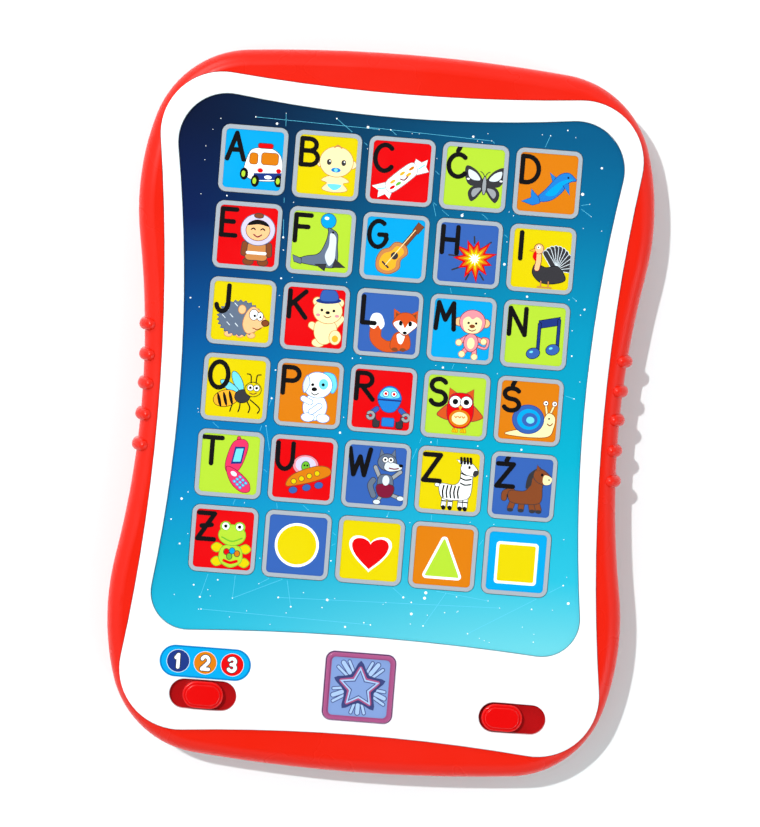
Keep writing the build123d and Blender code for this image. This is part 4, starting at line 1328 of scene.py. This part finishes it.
def print_slot_floors(inks):
    """Painted shade: darker red on the flat plate that a slider carries along under its slot, standing in
    for the shade that the slot's walls cast on it.
    """
    for name in ("mode", "power"):
        low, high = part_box(name + "_knob")
        x, y = (low.x + high.x) / 2 / MM, (low.y + high.y) / 2 / MM
        reach = (high.x - low.x) / 2 / MM - SHIELD_WIDTH / 2
        drawing = Drawing(x, y)
        # This dark red stroke is painted shade down in the slot, not the colour of the red plastic under it
        drawing.area("slot_shade_red", stroke([(-reach, 0), (reach, 0)], SHIELD_WIDTH - 0.6))
        piece = "print_" + name + "_slot"
        print_drawing(piece, drawing, SHIELD_TOP, inks, name + "_slider")


# ---------------------------------------------------------------- light, floor and camera
def studio_sky():
    """An even white studio that is darker straight above, where the camera stands."""
    world = bpy.data.worlds.new("studio_sky")
    world.use_nodes = True
    nodes = world.node_tree.nodes
    links = world.node_tree.links
    place = nodes.new("ShaderNodeTexCoord")
    split = nodes.new("ShaderNodeSeparateXYZ")
    links.new(place.outputs["Generated"], split.inputs["Vector"])
    spread = nodes.new("ShaderNodeMapRange")
    spread.interpolation_type = "SMOOTHSTEP"
    spread.inputs["From Min"].default_value = 0.8
    spread.inputs["From Max"].default_value = 0.97
    spread.inputs["To Min"].default_value = SKY_LIGHT
    spread.inputs["To Max"].default_value = SKY_LIGHT * 0.15
    links.new(split.outputs["Z"], spread.inputs["Value"])
    links.new(spread.outputs["Result"], nodes["Background"].inputs["Strength"])
    nodes["Background"].inputs["Color"].default_value = (0.96, 0.99, 1.0, 1.0)
    return world


def add_sun(name, energy, spread, colour, source):
    """Parallel light from a direction, spread in degrees."""
    light = bpy.data.lights.new(name, "SUN")
    light.energy = energy
    light.angle = math.radians(spread)
    light.color = colour
    light_object = bpy.data.objects.new(name, light)
    light_object.rotation_euler = Vector(source).to_track_quat("Z", "Y").to_euler()
    bpy.context.scene.collection.objects.link(light_object)


def add_stage():
    """A white floor, a soft sky, a sun from the upper left and a broad lamp for the gloss."""
    floor_mesh = bpy.data.meshes.new("floor")
    reach = 6.0
    corners = [(-reach, -reach, 0), (reach, -reach, 0), (reach, reach, 0), (-reach, reach, 0)]
    floor_mesh.from_pydata(corners, [], [(0, 1, 2, 3)])
    floor = bpy.data.objects.new("floor", floor_mesh)
    paper = plain_material("floor_white", (0.82, 0.875, 0.875, 1.0), 0.9)
    add_grain(paper, 300.0, 0.02)
    floor_mesh.materials.append(paper)
    floor.location.z = -0.0002
    bpy.context.scene.collection.objects.link(floor)

    bpy.context.scene.world = studio_sky()
    bpy.context.scene.view_settings.view_transform = "Standard"

    add_sun("sun", SUN_LIGHT, 1.5, (1.0, 1.0, 1.0), (-0.36, 0.30, 1.0))
    add_sun("cool_fill", FILL_LIGHT, 40, (0.45, 0.93, 1.0), (0.9, -0.6, 0.8))

    lamp = bpy.data.lights.new("gloss_lamp", "AREA")
    lamp.energy = 3.0
    lamp.size = 0.5
    lamp_object = bpy.data.objects.new("gloss_lamp", lamp)
    lamp_object.location = (-0.55, 0.75, 0.55)
    way = Vector((-0.05, 0.09, 0.02)) - Vector(lamp_object.location)
    lamp_object.rotation_euler = way.to_track_quat("-Z", "Y").to_euler()
    bpy.context.scene.collection.objects.link(lamp_object)


def add_camera():
    """The camera that looks at the tablet from where the picture was taken."""
    data = bpy.data.cameras.new("camera")
    data.sensor_width = 36.0
    data.lens = 36.0 * CAMERA_DISTANCE / VIEW_HEIGHT
    data.clip_start = 0.05
    data.clip_end = 20.0
    data.dof.use_dof = False
    camera = bpy.data.objects.new("camera", data)
    top = math.tan(math.radians(CAMERA_TOWARDS_TOP))
    left = math.tan(math.radians(CAMERA_TOWARDS_LEFT))
    back = Vector((-left, top, 1.0)).normalized()
    roll = math.radians(CAMERA_ROLL)
    up = Vector((-math.sin(roll), math.cos(roll), 0.0))
    right = up.cross(back).normalized()
    up = back.cross(right)
    turn = Matrix((right, up, back)).transposed()
    camera.matrix_world = Matrix.Translation(Vector(AIM) + back * CAMERA_DISTANCE) @ turn.to_4x4()
    bpy.context.scene.collection.objects.link(camera)
    bpy.context.scene.camera = camera


def dress_nodes(frame, materials):
    """Gives each CAD node the finish of its slot in the record."""
    for part in frame["record"]["subparts"]:
        piece = frame["nodes"][part["node"]]
        piece.data.materials.clear()
        piece.data.materials.append(materials[part["material_slot"]])


def main():
    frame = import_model()
    inks = ink_materials()
    materials = part_materials()
    dress_nodes(frame, materials)
    print_keys(inks)
    print_sky(inks)
    print_label(inks)
    print_button(inks)
    print_slot_floors(inks)
    add_stage()
    add_camera()


main()
